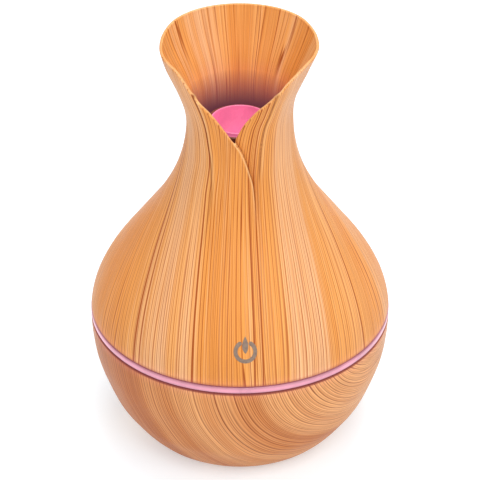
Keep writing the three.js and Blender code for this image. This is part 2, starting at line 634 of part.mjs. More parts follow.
const electronics = new THREE.Group();
electronics.add(piece("control_board", controlBoard(), greenBoard));
BOARD_SCREW_AZIMUTHS.forEach((azimuth, i) =>
  electronics.add(piece(`board_screw_${i + 1}`, boardScrew(azimuth), steel)));
electronics.add(piece("usb_socket", usbSocket(), steel));
electronics.add(piece("usb_tongue", usbTongue(), blackEpoxy));
for (let i = 0; i < 6; i += 1) electronics.add(piece(`ring_led_${i + 1}`, ringLed(60 * i), ledLens));
for (let i = 0; i < 2; i += 1) electronics.add(piece(`nozzle_led_${i + 1}`, nozzleLed(180 * i), ledLens));
electronics.add(piece("inductor", inductor(), blackEpoxy));
electronics.add(piece("capacitor", capacitor(), aluminium));
electronics.add(piece("controller_chip", controllerChip(), blackEpoxy));
electronics.add(piece("disc_connector", discConnector(), whitePlastic));
electronics.add(piece("touch_contact", touchContact(), bronze));
electronics.add(piece("disc_lead_red", discLead(1), redWire));
electronics.add(piece("disc_lead_black", discLead(-1), blackWire));
head.add(electronics);

const wickBody = new THREE.Group();
wickBody.add(piece("wick", wick(), cotton));
wickBody.add(piece("wick_spring", wickSpring(), steel));

const diffuser = new THREE.Group();
diffuser.add(tank, seal, head, wickBody);

export default diffuser;
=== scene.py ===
"""Looks of a vase-shaped essential oil diffuser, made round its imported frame.

Lengths in the classes below are in millimetres unless a name says otherwise; MM turns them into the
scene's metres.  An azimuth is in degrees, measured from the front (-Y) towards +X.
"""
from __future__ import annotations

import logging
import math
from collections.abc import Callable, Sequence
from dataclasses import dataclass, field
from enum import Enum

import bmesh
import bpy
import numpy as np
from mathutils import Matrix, Vector


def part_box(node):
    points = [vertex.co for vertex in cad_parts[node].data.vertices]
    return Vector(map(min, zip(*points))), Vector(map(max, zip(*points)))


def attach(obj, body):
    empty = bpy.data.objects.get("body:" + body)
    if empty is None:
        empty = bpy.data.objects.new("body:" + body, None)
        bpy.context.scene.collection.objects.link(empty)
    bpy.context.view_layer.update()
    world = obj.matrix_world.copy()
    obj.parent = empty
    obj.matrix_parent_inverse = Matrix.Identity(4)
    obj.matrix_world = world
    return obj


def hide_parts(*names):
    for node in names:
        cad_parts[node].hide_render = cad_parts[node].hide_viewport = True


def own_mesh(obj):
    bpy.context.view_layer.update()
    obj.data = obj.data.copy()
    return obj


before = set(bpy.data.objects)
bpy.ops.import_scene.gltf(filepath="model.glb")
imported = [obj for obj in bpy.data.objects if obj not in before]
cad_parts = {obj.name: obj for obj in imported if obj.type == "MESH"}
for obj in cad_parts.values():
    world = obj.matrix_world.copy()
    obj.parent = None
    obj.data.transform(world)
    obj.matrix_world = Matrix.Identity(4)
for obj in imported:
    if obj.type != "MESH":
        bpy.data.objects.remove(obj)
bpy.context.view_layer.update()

log = logging.getLogger("diffuser")
MM = 0.001
CRISP_ANGLE = 38.0
ON_AXIS = 1e-6
Colour = tuple[float, float, float]
Points = Sequence[tuple[float, float]]


# ------------------------------------------------------------------ curves
def smooth_curve(points: Points) -> Callable[[np.ndarray], np.ndarray]:
    """A curve through points that never overshoots them (monotone cubic).

    Args:
        points: (key, value) pairs with rising keys.

    Returns:
        A function from an array of keys to an array of values.
    """
    x, y = np.array(points, float).T
    step = np.diff(x)
    slope = np.diff(y) / step
    tangent = np.zeros_like(y)
    tangent[0], tangent[-1] = slope[0], slope[-1]
    rising = slope[:-1] * slope[1:] > 0
    w1, w2 = 2 * step[1:] + step[:-1], step[1:] + 2 * step[:-1]
    with np.errstate(divide="ignore", invalid="ignore"):
        mean = (w1 + w2) / (w1 / slope[:-1] + w2 / slope[1:])
    tangent[1:-1] = np.where(rising, mean, 0.0)

    def value(key: np.ndarray) -> np.ndarray:
        """The curve's value at each key, held level past its ends."""
        inside = np.clip(np.asarray(key, float), x[0], x[-1])
        i = np.clip(np.searchsorted(x, inside) - 1, 0, len(step) - 1)
        t = (inside - x[i]) / step[i]
        a = (1 + 2 * t) * (1 - t) ** 2 * y[i] + t * t * (3 - 2 * t) * y[i + 1]
        b = t * (1 - t) ** 2 * tangent[i] - t * t * (1 - t) * tangent[i + 1]
        return a + step[i] * b

    return value


def smoothstep(x: np.ndarray, low: float, high: float) -> np.ndarray:
    """0 below low, 1 above high, and an even S between them."""
    t = np.clip((np.asarray(x, float) - low) / (high - low), 0.0, 1.0)
    return t * t * (3 - 2 * t)


def bump(x: np.ndarray, width: float) -> np.ndarray:
    """A bell of height 1 and the given half width."""
    return np.exp(-((np.asarray(x, float) / width) ** 2))


def polar(azimuth: np.ndarray, radius: np.ndarray, height: np.ndarray) -> np.ndarray:
    """Points at azimuths (degrees), radii and heights, as an array of x, y, z."""
    a = np.radians(azimuth)
    parts = np.broadcast_arrays(radius * np.sin(a), -radius * np.cos(a), height)
    return np.stack(parts, axis=-1)


@dataclass(frozen=True)
class Outline:
    """The vase's outer outline and the lines of its folded mouth."""

    profile: Points = (
        (0, 31.5), (5, 36.0), (10, 39.5), (16, 43.0), (28, 47.2), (36, 48.6), (44, 49.0),
        (50, 48.2), (56, 46.1), (64, 41.6), (76, 32.8), (86, 25.6), (96, 20.5), (106, 17.6),
        (116, 16.8), (124, 18.2), (134, 22.3), (142, 25.2),
    )
    rim_left: Points = (
        (-180, 142), (-150, 142), (-130, 141.8), (-110, 140.9), (-90, 139.9), (-66, 139.6), (-57, 139.1),
        (-52, 137.5), (-49, 135.6), (-46, 132.4), (-42, 129.6), (-37, 126.9), (-31, 124.2),
        (-22, 120.2), (-15, 117.3), (-8, 114.6),
    )
    rim_right: Points = (
        (-8, 114.9), (-4, 117.2), (2, 120.6), (8, 123.2), (15, 126.1), (21.5, 128.3),
        (26.5, 130.2), (31, 132.5), (38, 135.7), (46, 138.3), (54, 140), (62, 140.7),
        (90, 140.7), (110, 141.2), (130, 141.9), (150, 142), (180, 142),
    )
    petal_edge: Points = (
        (83, 8), (93, 10.7), (99.5, 10.4), (107, 5), (112, -1.6), (114.8, -8),
    )
    right_fold: Points = (
        (83, 15), (103, 17), (107, 18.5), (113.5, 21), (119, 24), (124.4, 28.4), (132, 30),
    )
    left_crease: Points = (
        (60, -26), (94, -28), (104, -32), (109, -35), (113, -38), (121, -41.5), (130, -44),
    )
    notch_azimuth: float = -8.0

    def radius(self, z: np.ndarray) -> np.ndarray:
        """Outer radius at a height."""
        return _catmull(self.profile, z)

    def rim(self, azimuth: np.ndarray) -> np.ndarray:
        """Height of the mouth's rim at an azimuth."""
        left = smooth_curve(self.rim_left)(azimuth)
        right = smooth_curve(self.rim_right)(azimuth)
        return np.where(np.asarray(azimuth) <= self.notch_azimuth, left, right)

    def edge(self, z: np.ndarray) -> np.ndarray:
        """Azimuth of the left petal's free edge at a height."""
        return smooth_curve(self.petal_edge)(z)

    def fold(self, z: np.ndarray) -> np.ndarray:
        """Azimuth of the right petal's fold at a height."""
        return smooth_curve(self.right_fold)(z)

    def crease(self, z: np.ndarray) -> np.ndarray:
        """Azimuth of the left petal's crease at a height."""
        return smooth_curve(self.left_crease)(z)


def _catmull(points: Points, key: np.ndarray) -> np.ndarray:
    """Value of a Catmull-Rom spline through (key, value) points, read at keys."""
    p = np.array(points, float)
    p = np.vstack([2 * p[0] - p[1], p, 2 * p[-1] - p[-2]])
    t = np.linspace(0, 1, 24, endpoint=False)[:, None]
    a, b, c, d = p[:-3, None], p[1:-2, None], p[2:-1, None], p[3:, None]
    curve = b + 0.5 * t * (c - a + t * (2 * a - 5 * b + 4 * c - d + t * (3 * (b - c) + d - a)))
    curve = np.vstack([curve.reshape(-1, 2), p[-2]])
    return np.interp(key, curve[:, 0], curve[:, 1])


VASE = Outline()


# ------------------------------------------------------------------ mesh making
def mesh_object(
    name: str,
    points: np.ndarray,
    faces: Sequence[Sequence[int]],
    sharp_angle: float = CRISP_ANGLE,
) -> bpy.types.Object:
    """Makes a smooth-shaded object in the row frame.

    Args:
        name: the piece's name.
        points: n x 3 array in millimetres.
        faces: corner indices of each face.
        sharp_angle: edges that turn by more than this many degrees stay crisp.

    Returns:
        The new object, linked to the scene.
    """
    mesh = bpy.data.meshes.new(name)
    mesh.from_pydata((np.asarray(points, float) * MM).tolist(), [], faces)
    mesh.validate()
    obj = bpy.data.objects.new(name, mesh)
    bpy.context.scene.collection.objects.link(obj)
    shade(obj, sharp_angle)
    return obj


def grid_faces(rows: int, columns: int, closed_rows: bool) -> list[tuple[int, ...]]:
    """Quads of a grid that is closed round its columns.

    Args:
        rows: number of rows, each one ring of points.
        columns: points in a ring.
        closed_rows: whether the last row joins the first.

    Returns:
        Faces that look outwards when rows rise on the outside.
    """
    faces = []
    for j in range(rows if closed_rows else rows - 1):
        low, high = j * columns, ((j + 1) % rows) * columns
        for i in range(columns):
            k = (i + 1) % columns
            faces.append((low + i, low + k, high + k, high + i))
    return faces


def add_attribute(obj: bpy.types.Object, name: str, values: np.ndarray) -> None:
    """Stores a number or a vector at each point of a mesh, for its material to read."""
    vector = values.ndim == 2
    kind = "FLOAT_VECTOR" if vector else "FLOAT"
    layer = obj.data.attributes.new(name, kind, "POINT")
    layer.data.foreach_set("vector" if vector else "value", values.astype(np.float32).ravel())


def rounded(section: Points, radius: float = 0.35, steps: int = 4) -> list[tuple[float, float]]:
    """Rounds the corners of a closed section.

    Args:
        section: (radius, height) corners, not repeated at the end.
        radius: the largest corner radius; short sides get less.
        steps: points per corner.

    Returns:
        The rounded section.
    """
    corners = [Vector(p) for p in section]
    result: list[tuple[float, float]] = []
    for i, at in enumerate(corners):
        before, after = corners[i - 1] - at, corners[(i + 1) % len(corners)] - at
        on_axis = abs(at.x) < ON_AXIS
        reach = min(radius, before.length * 0.45, after.length * 0.45)
        nearly_straight = before.angle(after) > math.radians(165)
        if on_axis or nearly_straight or reach < 0.02:
            result.append(tuple(at))
            continue
        start, end = at + before.normalized() * reach, at + after.normalized() * reach
        for k in range(steps + 1):
            t = k / steps
            point = start * (1 - t) ** 2 + at * 2 * t * (1 - t) + end * t * t
            result.append(tuple(point))
    return result


def turned(
    name: str,
    section: Points,
    columns: int = 96,
    corner: float = 0.35,
    finish: bpy.types.Material | None = None,
) -> bpy.types.Object:
    """A solid of revolution about the vertical axis.

    Args:
        name: the piece's name.
        section: (radius, height) corners, anticlockwise, open at the axis or closed on itself.
        columns: facets round the axis.
        corner: corner radius.
        finish: material of the piece.

    Returns:
        The new object.
    """
    closed = section[0][0] > ON_AXIS
    line = rounded(section, corner)
    radii, heights = np.array(line).T
    azimuth = np.linspace(-180, 180, columns, endpoint=False)
    if closed:
        points = polar(azimuth[None], radii[:, None], heights[:, None]).reshape(-1, 3)
        faces = grid_faces(len(line), columns, True)
    else:
        inner = polar(azimuth[None], radii[1:-1, None], heights[1:-1, None]).reshape(-1, 3)
        points = np.vstack([inner, [0, 0, heights[0]], [0, 0, heights[-1]]])
        faces = grid_faces(len(line) - 2, columns, False)
        low, high, top = len(inner), len(inner) + 1, len(inner) - columns
        for i in range(columns):
            k = (i + 1) % columns
            faces.append((low, k, i))
            faces.append((high, top + i, top + k))
    obj = mesh_object(name, points, faces)
    if finish:
        obj.data.materials.append(finish)
    return obj


def joined(name: str, parts: Sequence[bpy.types.Object]) -> bpy.types.Object:
    """Joins objects into the first one and names the result."""
    with bpy.context.temp_override(
        active_object=parts[0], object=parts[0],
        selected_objects=list(parts), selected_editable_objects=list(parts),
    ):
        bpy.ops.object.join()
    parts[0].name = name
    parts[0].data.name = name
    return parts[0]


def settle(obj: bpy.types.Object) -> None:
    """Turns what an object's modifiers make into its plain mesh and drops the modifiers.

    Args:
        obj: the object to settle.
    """
    bpy.context.view_layer.update()
    graph = bpy.context.evaluated_depsgraph_get()
    mesh = bpy.data.meshes.new_from_object(obj.evaluated_get(graph))
    mesh.name = obj.name
    obj.modifiers.clear()
    obj.data = mesh


def shade(obj: bpy.types.Object, sharp_angle: float) -> None:
    """Shades a mesh smooth, except at edges that turn by more than an angle in degrees."""
    obj.data.shade_smooth()
    obj.data.set_sharp_from_angle(angle=math.radians(sharp_angle))


def cut_away(obj: bpy.types.Object, tool: bpy.types.Object) -> None:
    """Cuts a tool's shape out of an object and removes the tool.

    Args:
        obj: the object to cut.
        tool: a closed shape.
    """
    modifier = obj.modifiers.new("cut", "BOOLEAN")
    modifier.object = tool
    modifier.operation = "DIFFERENCE"
    modifier.solver = "EXACT"
    settle(obj)
    shade(obj, CRISP_ANGLE)
    bpy.data.objects.remove(tool)


def block(
    name: str, low: Sequence[float], high: Sequence[float], chamfer: float = 0.0
) -> bpy.types.Object:
    """A box between two corners, its edges bevelled by chamfer, in millimetres."""
    (x0, y0, z0), (x1, y1, z1) = low, high
    points = [(x, y, z) for z in (z0, z1) for y in (y0, y1) for x in (x0, x1)]
    faces = [(0, 2, 3, 1), (4, 5, 7, 6), (0, 1, 5, 4), (2, 6, 7, 3), (0, 4, 6, 2), (1, 3, 7, 5)]
    obj = mesh_object(name, np.array(points), faces)
    if chamfer:
        bevel = obj.modifiers.new("bevel", "BEVEL")
        bevel.width = chamfer * MM
        bevel.segments = 2
        settle(obj)
    return obj


def arc_block(
    name: str, start: float, end: float, inner: float, outer: float, low: float, high: float
) -> bpy.types.Object:
    """A block bent round the axis, between azimuths, radii and heights."""
    azimuth = np.linspace(start, end, 13)
    ring = [(inner, low), (outer, low), (outer, high), (inner, high)]
    points = np.vstack([polar(azimuth, r, z) for r, z in ring])
    n = len(azimuth)
    faces = []
    for j in range(4):
        a, b = j * n, ((j + 1) % 4) * n
        faces += [(a + i, a + i + 1, b + i + 1, b + i) for i in range(n - 1)]
    faces.append((0, n, 2 * n, 3 * n))
    faces.append((4 * n - 1, 3 * n - 1, 2 * n - 1, n - 1))
    return mesh_object(name, points, faces)


# ------------------------------------------------------------------ finishes
class Slot(Enum):
    """The record's material slots."""

    WOOD = "wood_print"
    GLOW = "glow_plastic"
    WHITE = "white_plastic"
    SLEEVE = "sleeve_plastic"
    SILICONE = "silicone"
    FOOT = "foot_rubber"
    BOARD = "circuit_board"
    EPOXY = "black_epoxy"
    LED = "led_lens"
    STEEL = "steel"
    BRONZE = "bronze"
    CAN = "aluminium_can"
    CERAMIC = "piezo_ceramic"
    WICK = "wick_fibre"
    RED_LEAD = "red_lead"
    BLACK_LEAD = "black_lead"


class Shader:
    """A principled material and short calls that add nodes to it."""

    def __init__(self, name: str) -> None:
        """Makes the material with its principled shader and output."""
        self.material = bpy.data.materials.new(name)
        self.material.use_nodes = True
        self.tree = self.material.node_tree
        self.tree.nodes.clear()
        output = self.tree.nodes.new("ShaderNodeOutputMaterial")
        self.surface = self.tree.nodes.new("ShaderNodeBsdfPrincipled")
        self.tree.links.new(self.surface.outputs[0], output.inputs["Surface"])

    def link(self, source: object, node: bpy.types.Node, socket: str | int) -> None:
        """Links a socket to an input, or sets the input where source is a plain value."""
        if isinstance(source, bpy.types.NodeSocket):
            self.tree.links.new(source, node.inputs[socket])
        else:
            node.inputs[socket].default_value = source

    def fix(self, **values: object) -> None:
        """Sets inputs of the principled shader, underscores standing for spaces."""
        for name, value in values.items():
            self.link(value, self.surface, name.replace("_", " "))

    def place(self) -> bpy.types.NodeSocket:
        """The point's own place in metres."""
        return self.tree.nodes.new("ShaderNodeTexCoord").outputs["Object"]

    def attribute(self, name: str, output: str) -> bpy.types.NodeSocket:
        """A stored attribute's Vector or Fac."""
        node = self.tree.nodes.new("ShaderNodeAttribute")
        node.attribute_name = name
        return node.outputs[output]

    def stretched(self, vector: object, scale: Sequence[float]) -> bpy.types.NodeSocket:
        """The vector scaled along each axis."""
        node = self.tree.nodes.new("ShaderNodeMapping")
        self.link(vector, node, "Vector")
        node.inputs["Scale"].default_value = scale
        return node.outputs[0]

    def moved(self, vector: object, shift: Sequence[float]) -> bpy.types.NodeSocket:
        """The vector moved along each axis."""
        node = self.tree.nodes.new("ShaderNodeMapping")
        self.link(vector, node, "Vector")
        node.inputs["Location"].default_value = shift
        return node.outputs[0]

    def length(self, vector: object) -> bpy.types.NodeSocket:
        """The length of a vector.

        Args:
            vector: the socket to read.

        Returns:
            The length's socket.
        """
        node = self.tree.nodes.new("ShaderNodeVectorMath")
        node.operation = "LENGTH"
        self.link(vector, node, 0)
        return node.outputs["Value"]

    def combined(self, *parts: object) -> bpy.types.NodeSocket:
        """A vector with the given x, y and z.

        Args:
            parts: three sockets or numbers.

        Returns:
            The vector's socket.
        """
        node = self.tree.nodes.new("ShaderNodeCombineXYZ")
        for index, part in enumerate(parts):
            self.link(part, node, index)
        return node.outputs[0]

    def streaks(
        self, vector: object, across: float, along: float, detail: float = 1.0, roughness: float = 0.5
    ) -> bpy.types.NodeSocket:
        """Noise drawn out along z, from its frequencies across and along."""
        return self.noise(self.stretched(vector, (across, across, along)), 1.0, detail, roughness)

    def noise(
        self, vector: object, scale: float, detail: float = 2.0, roughness: float = 0.5
    ) -> bpy.types.NodeSocket:
        """A noise value at the vector."""
        node = self.tree.nodes.new("ShaderNodeTexNoise")
        self.link(vector, node, "Vector")
        node.inputs["Scale"].default_value = scale
        node.inputs["Detail"].default_value = detail
        node.inputs["Roughness"].default_value = roughness
        return node.outputs["Fac"]

    def math(self, operation: str, a: object, b: object = 0.0, c: object = 0.0) -> bpy.types.NodeSocket:
        """A math node."""
        node = self.tree.nodes.new("ShaderNodeMath")
        node.operation = operation
        self.link(a, node, 0)
        self.link(b, node, 1)
        self.link(c, node, 2)
        return node.outputs[0]

    def span(
        self, value: object, low: float, high: float, to_low: float = 0.0, to_high: float = 1.0
    ) -> bpy.types.NodeSocket:
        """A value mapped from one range to another, clamped."""
        node = self.tree.nodes.new("ShaderNodeMapRange")
        self.link(value, node, "Value")
        for name, number in zip(("From Min", "From Max", "To Min", "To Max"), (low, high, to_low, to_high)):
            node.inputs[name].default_value = number
        return node.outputs[0]

    def mix(self, share: object, a: object, b: object) -> bpy.types.NodeSocket:
        """A colour between a and b."""
        node = self.tree.nodes.new("ShaderNodeMix")
        node.data_type = "RGBA"
        self.link(share, node, 0)
        for source, index in ((a, 6), (b, 7)):
            value = source if isinstance(source, bpy.types.NodeSocket) else (*source, 1.0)
            self.link(value, node, index)
        return node.outputs[2]

    def ramp(self, value: object, stops: Sequence[tuple[float, Colour]]) -> bpy.types.NodeSocket:
        """A colour read from stops."""
        node = self.tree.nodes.new("ShaderNodeValToRGB")
        self.link(value, node, 0)
        elements = node.color_ramp.elements
        while len(elements) < len(stops):
            elements.new(0.5)
        for element, (position, colour) in zip(elements, stops):
            element.position = position
            element.color = (*colour, 1.0)
        return node.outputs[0]

    def bumped(self, height: object, distance: float, strength: float = 1.0) -> None:
        """Gives the shader a bump of the given depth in metres."""
        node = self.tree.nodes.new("ShaderNodeBump")
        node.inputs["Distance"].default_value = distance
        node.inputs["Strength"].default_value = strength
        self.link(height, node, "Height")
        self.link(node.outputs[0], self.surface, "Normal")

    def parts(self, vector: object) -> tuple[bpy.types.NodeSocket, ...]:
        """The x, y and z of a vector."""
        node = self.tree.nodes.new("ShaderNodeSeparateXYZ")
        self.link(vector, node, 0)
        return tuple(node.outputs[:3])


def srgb(red: int, green: int, blue: int) -> Colour:
    """A colour given as 0 to 255 display values, in linear light."""
    return tuple(
        c / 12.92 if c <= 0.04045 else ((c + 0.055) / 1.055) ** 2.4
        for c in (red / 255, green / 255, blue / 255)
    )


class Figure(Enum):
    """How the printed year rings run."""

    STRAIGHT = "lines that run up the wall"
    ARCHED = "arcs round a point beside the band"


@dataclass(frozen=True)
class GrainPlace:
    """Where a point lies in the printed grain, as sockets of one material.

    The year rings are counted across the grain.  The vector, in millimetres, is read by the noises,
    which are drawn out along its z by stretch.  Between is the strength of the weaker lines that
    stand between the main ones, pale is 1 in the broad pale stripes and marked on single dark lines.
    """

    rings: bpy.types.NodeSocket
    vector: bpy.types.NodeSocket
    stretch: float
    between: bpy.types.NodeSocket
    pale: bpy.types.NodeSocket
    marked: bpy.types.NodeSocket | float


@dataclass(frozen=True)
class WoodFilm:
    """Printed pine grain under satin lacquer.

    The "grain" attribute is a place in the print, in millimetres.  With straight figure its x and y
    turn about the origin as the wall turns about the axis, and z is the height.  With arched figure
    its length is the distance from the arcs' middle.  "rim" is 1 on inner walls, which get painted
    shade deep in the neck, and less on the rounded rim, whose crown gets a painted highlight.  "line"
    is 1 along the painted shade in creases, at the lap's edge and in the gaps by the band, and "lip"
    is 1 along the painted highlight on a lip.

    The stripes and lines are given by azimuth and half width, in degrees.
    """

    name: str
    figure: Figure
    ring_count: int = 205
    inner_ring_share: float = 0.42
    ring_pitch: float = 0.72
    arc_stretch: float = 60.0
    pale_stripes: Points = ((-31.0, 17.0), (26.0, 12.0))
    dark_lines: Points = (
        (-45.5, 0.6), (-42.8, 0.4), (-20.0, 0.5), (3.4, 0.5), (6.5, 0.4), (52.0, 0.5),
    )
    seed: float = 0.0
    pale: Colour = srgb(236, 182, 132)
    golden: Colour = srgb(234, 166, 94)
    orange: Colour = srgb(226, 148, 70)
    line: Colour = srgb(152, 66, 16)
    # Colour of the painted shade in creases, at the lap's edge and in the gaps by the band.
    crease: Colour = srgb(120, 62, 28)
    # Colour of the painted highlight on the lips and on the rim's crown.
    highlight_tint: Colour = srgb(244, 196, 138)
    # Colour of the painted shade deep inside the neck.
    neck_shade: Colour = srgb(100, 64, 56)
    # Colour of the painted pink glow beside the band and round the nozzle.
    glow: Colour = (1.0, 0.22, 0.42)
    bump_depth: float = 0.00006

    def material(self) -> bpy.types.Material:
        """Builds the material.

        Returns:
            The material.
        """
        s = Shader(self.name)
        grain = self._straight(s) if self.figure is Figure.STRAIGHT else self._arched(s)
        late = self._dark_lines(s, grain)
        fine = s.streaks(grain.vector, 4.5, 0.05, 2.0, 0.7)
        s.fix(Base_Color=self._edges(s, self._tone(s, grain, late, fine)))
        smudge = s.noise(s.place(), 60.0, 3.0)
        s.fix(Roughness=s.span(smudge, 0.3, 0.7, 0.38, 0.52))
        s.fix(Specular_IOR_Level=0.16, Coat_Weight=0.02, Coat_Roughness=0.25)
        s.bumped(s.math("MULTIPLY_ADD", late, -0.6, s.math("MULTIPLY", fine, 0.25)), self.bump_depth)
        # Painted glow: pink emission on the film beside the band and round the nozzle.
        s.fix(Emission_Color=(*self.glow, 1.0), Emission_Strength=self._painted_glow(s))
        return s.material

    def _straight(self, s: Shader) -> GrainPlace:
        """Lines that run up the wall, wider apart on the inner wall.

        Args:
            s: the material being made.

        Returns:
            The place in the grain.
        """
        place = s.attribute("grain", "Vector")
        x, y, _ = s.parts(place)
        turn = s.math("ARCTAN2", y, x)
        rim = s.attribute("rim", "Fac")
        per_turn = self.ring_count / (2 * math.pi)
        count = s.span(rim, 0.4, 0.6, per_turn, self.inner_ring_share * per_turn)
        return GrainPlace(
            rings=s.math("MULTIPLY", turn, count),
            vector=s.moved(place, (self.seed, -self.seed, 3 * self.seed)),
            stretch=0.007,
            between=s.span(rim, 0.1, 0.7, 1.0, 0.3),
            pale=self._stripes(s, turn, self.pale_stripes),
            marked=self._stripes(s, turn, self.dark_lines),
        )

    def _arched(self, s: Shader) -> GrainPlace:
        """Arcs round the print's middle.

        Args:
            s: the material being made.

        Returns:
            The place in the grain.
        """
        place = s.attribute("grain", "Vector")
        x, y, _ = s.parts(place)
        far = s.length(place)
        along = s.math("MULTIPLY", s.math("ARCTAN2", x, y), self.arc_stretch)
        return GrainPlace(
            rings=s.math("MULTIPLY", far, 0.5 / self.ring_pitch),
            vector=s.combined(s.math("ADD", far, self.seed), 0.0, along),
            stretch=0.004,
            between=s.span(far, 0.0, 14.0, 0.4, 1.0),
            pale=s.span(far, 66.0, 30.0),
            marked=0.0,
        )

    def _stripes(
        self, s: Shader, turn: bpy.types.NodeSocket, stripes: Points
    ) -> bpy.types.NodeSocket:
        """Soft stripes up the wall.

        Args:
            s: the material being made.
            turn: the azimuth in radians.
            stripes: azimuth and half width of each stripe, in degrees.

        Returns:
            1 in the middle of a stripe, 0 outside it.
        """
        total = 0.0
        for azimuth, half in stripes:
            away = s.math("ABSOLUTE", s.math("SUBTRACT", turn, math.radians(azimuth)))
            edge = math.radians(half)
            total = s.math("MAXIMUM", s.span(away, edge, 0.4 * edge), total)
        return total

    def _dark_lines(self, s: Shader, grain: GrainPlace) -> bpy.types.NodeSocket:
        """Strong and weak lines by turns, in groups, and the marked ones.

        Args:
            s: the material being made.
            grain: the place in the grain.

        Returns:
            The strength of the dark lines.
        """
        at, along = grain.vector, grain.stretch
        wander = s.streaks(at, 0.06, along, 1.0, 0.4)
        jitter = s.streaks(at, 0.45, along, 1.0, 0.4)
        rings = s.math("MULTIPLY_ADD", wander, 9.0, grain.rings)
        rings = s.math("MULTIPLY_ADD", jitter, 1.1, rings)
        groups = s.streaks(at, 0.17, 0.5 * along)
        faint = s.streaks(at, 0.8, 1.5 * along, 2.0)
        strong = s.math("MULTIPLY", self._late_wood(s, rings, 0.0), s.span(groups, 0.36, 0.58, 0.5, 1.0))
        strong = s.math("MULTIPLY", strong, s.span(faint, 0.3, 0.6, 0.45, 1.0))
        weak = s.math("MULTIPLY", self._late_wood(s, rings, 0.5), s.span(groups, 0.62, 0.4, 0.2, 0.8))
        weak = s.math("MULTIPLY", weak, grain.between)
        return s.math("MAXIMUM", s.math("MAXIMUM", strong, weak), grain.marked)

    def _late_wood(self, s: Shader, rings: bpy.types.NodeSocket, shift: float) -> bpy.types.NodeSocket:
        """The dark late wood of every ring: it darkens slowly and ends sharply.

        Args:
            s: the material being made.
            rings: rings counted across the grain.
            shift: part of a ring by which the lines are moved.

        Returns:
            The strength of the lines.
        """
        share = s.math("FRACT", s.math("ADD", rings, shift))
        rising = s.math("POWER", s.span(share, 0.46, 0.84), 2.0)
        return s.math("MULTIPLY", rising, s.span(share, 0.97, 0.9))

    def _tone(
        self, s: Shader, grain: GrainPlace, late: bpy.types.NodeSocket, fine: bpy.types.NodeSocket
    ) -> bpy.types.NodeSocket:
        """The print's colour: broad bands, streaks, fine fibres and dark lines.

        Args:
            s: the material being made.
            grain: the place in the grain.
            late: strength of the dark lines.
            fine: noise of the fibres.

        Returns:
            The colour.
        """
        bands = s.streaks(grain.vector, 0.06, 0.004, 2.0)
        streak = s.streaks(grain.vector, 1.5, 0.012, 3.0, 0.6)
        tone = s.math("MULTIPLY_ADD", grain.pale, -0.22, s.math("ADD", bands, 0.04))
        colour = s.ramp(tone, [(0.38, self.pale), (0.5, self.golden), (0.63, self.orange)])
        colour = s.mix(s.span(streak, 0.45, 0.7, 0.0, 0.6), colour, self.orange)
        colour = s.mix(s.span(streak, 0.5, 0.3, 0.0, 0.5), colour, self.pale)
        colour = s.mix(s.span(fine, 0.48, 0.72, 0.0, 0.35), colour, self.line)
        return s.mix(s.math("MULTIPLY", late, 0.95), colour, self.line)

    def _edges(self, s: Shader, colour: bpy.types.NodeSocket) -> bpy.types.NodeSocket:
        """Adds painted highlights on the lips and the rim's crown, painted shade along creases and gaps,
        and painted shade deep in the neck.

        Args:
            s: the material being made.
            colour: the print's colour.

        Returns:
            The film's colour.
        """
        rim = s.attribute("rim", "Fac")
        # Painted highlight along the lips of the left petal, the fold and the crease.
        colour = s.mix(s.math("MULTIPLY", s.attribute("lip", "Fac"), 0.55), colour, self.highlight_tint)
        # Painted shade along the fold, the crease, under the lap and in the gaps by the band.
        colour = s.mix(s.math("MULTIPLY", s.attribute("line", "Fac"), 0.85), colour, self.crease)
        # Painted highlight along the crown of the rounded rim.
        crown = s.math("MULTIPLY", s.span(rim, 0.1, 0.35), s.span(rim, 0.9, 0.65))
        colour = s.mix(s.math("MULTIPLY", crown, 0.3), colour, self.highlight_tint)
        # Painted shade deep in the neck: the inner wall darkens towards the nozzle.
        height = s.parts(s.place())[2]
        deep = s.math("MULTIPLY", s.span(height, 0.123, 0.111), s.span(rim, 0.5, 0.9))
        return s.mix(s.math("POWER", deep, 0.8), colour, self.neck_shade)

    def _painted_glow(self, s: Shader) -> bpy.types.NodeSocket:
        """Painted glow: pink light from the band and the nozzle, painted onto the film as emission beside
        the band and round the nozzle.

        Args:
            s: the material being made.

        Returns:
            The strength of the painted glow.
        """
        band_height, nozzle_height = 0.0447, 0.114
        band_strength, nozzle_strength = 0.16, 0.10
        x, y, z = s.parts(s.place())
        from_band = s.math("ABSOLUTE", s.math("SUBTRACT", z, band_height))
        beside = s.math("POWER", s.span(from_band, 0.0055, 0.0008), 2.2)
        beside = s.math("MULTIPLY", beside, band_strength)
        away = s.length(s.combined(x, y, s.math("SUBTRACT", z, nozzle_height)))
        near = s.math("MULTIPLY", s.span(away, 0.022, 0.014), s.attribute("rim", "Fac"))
        return s.math("MULTIPLY_ADD", near, nozzle_strength, beside)


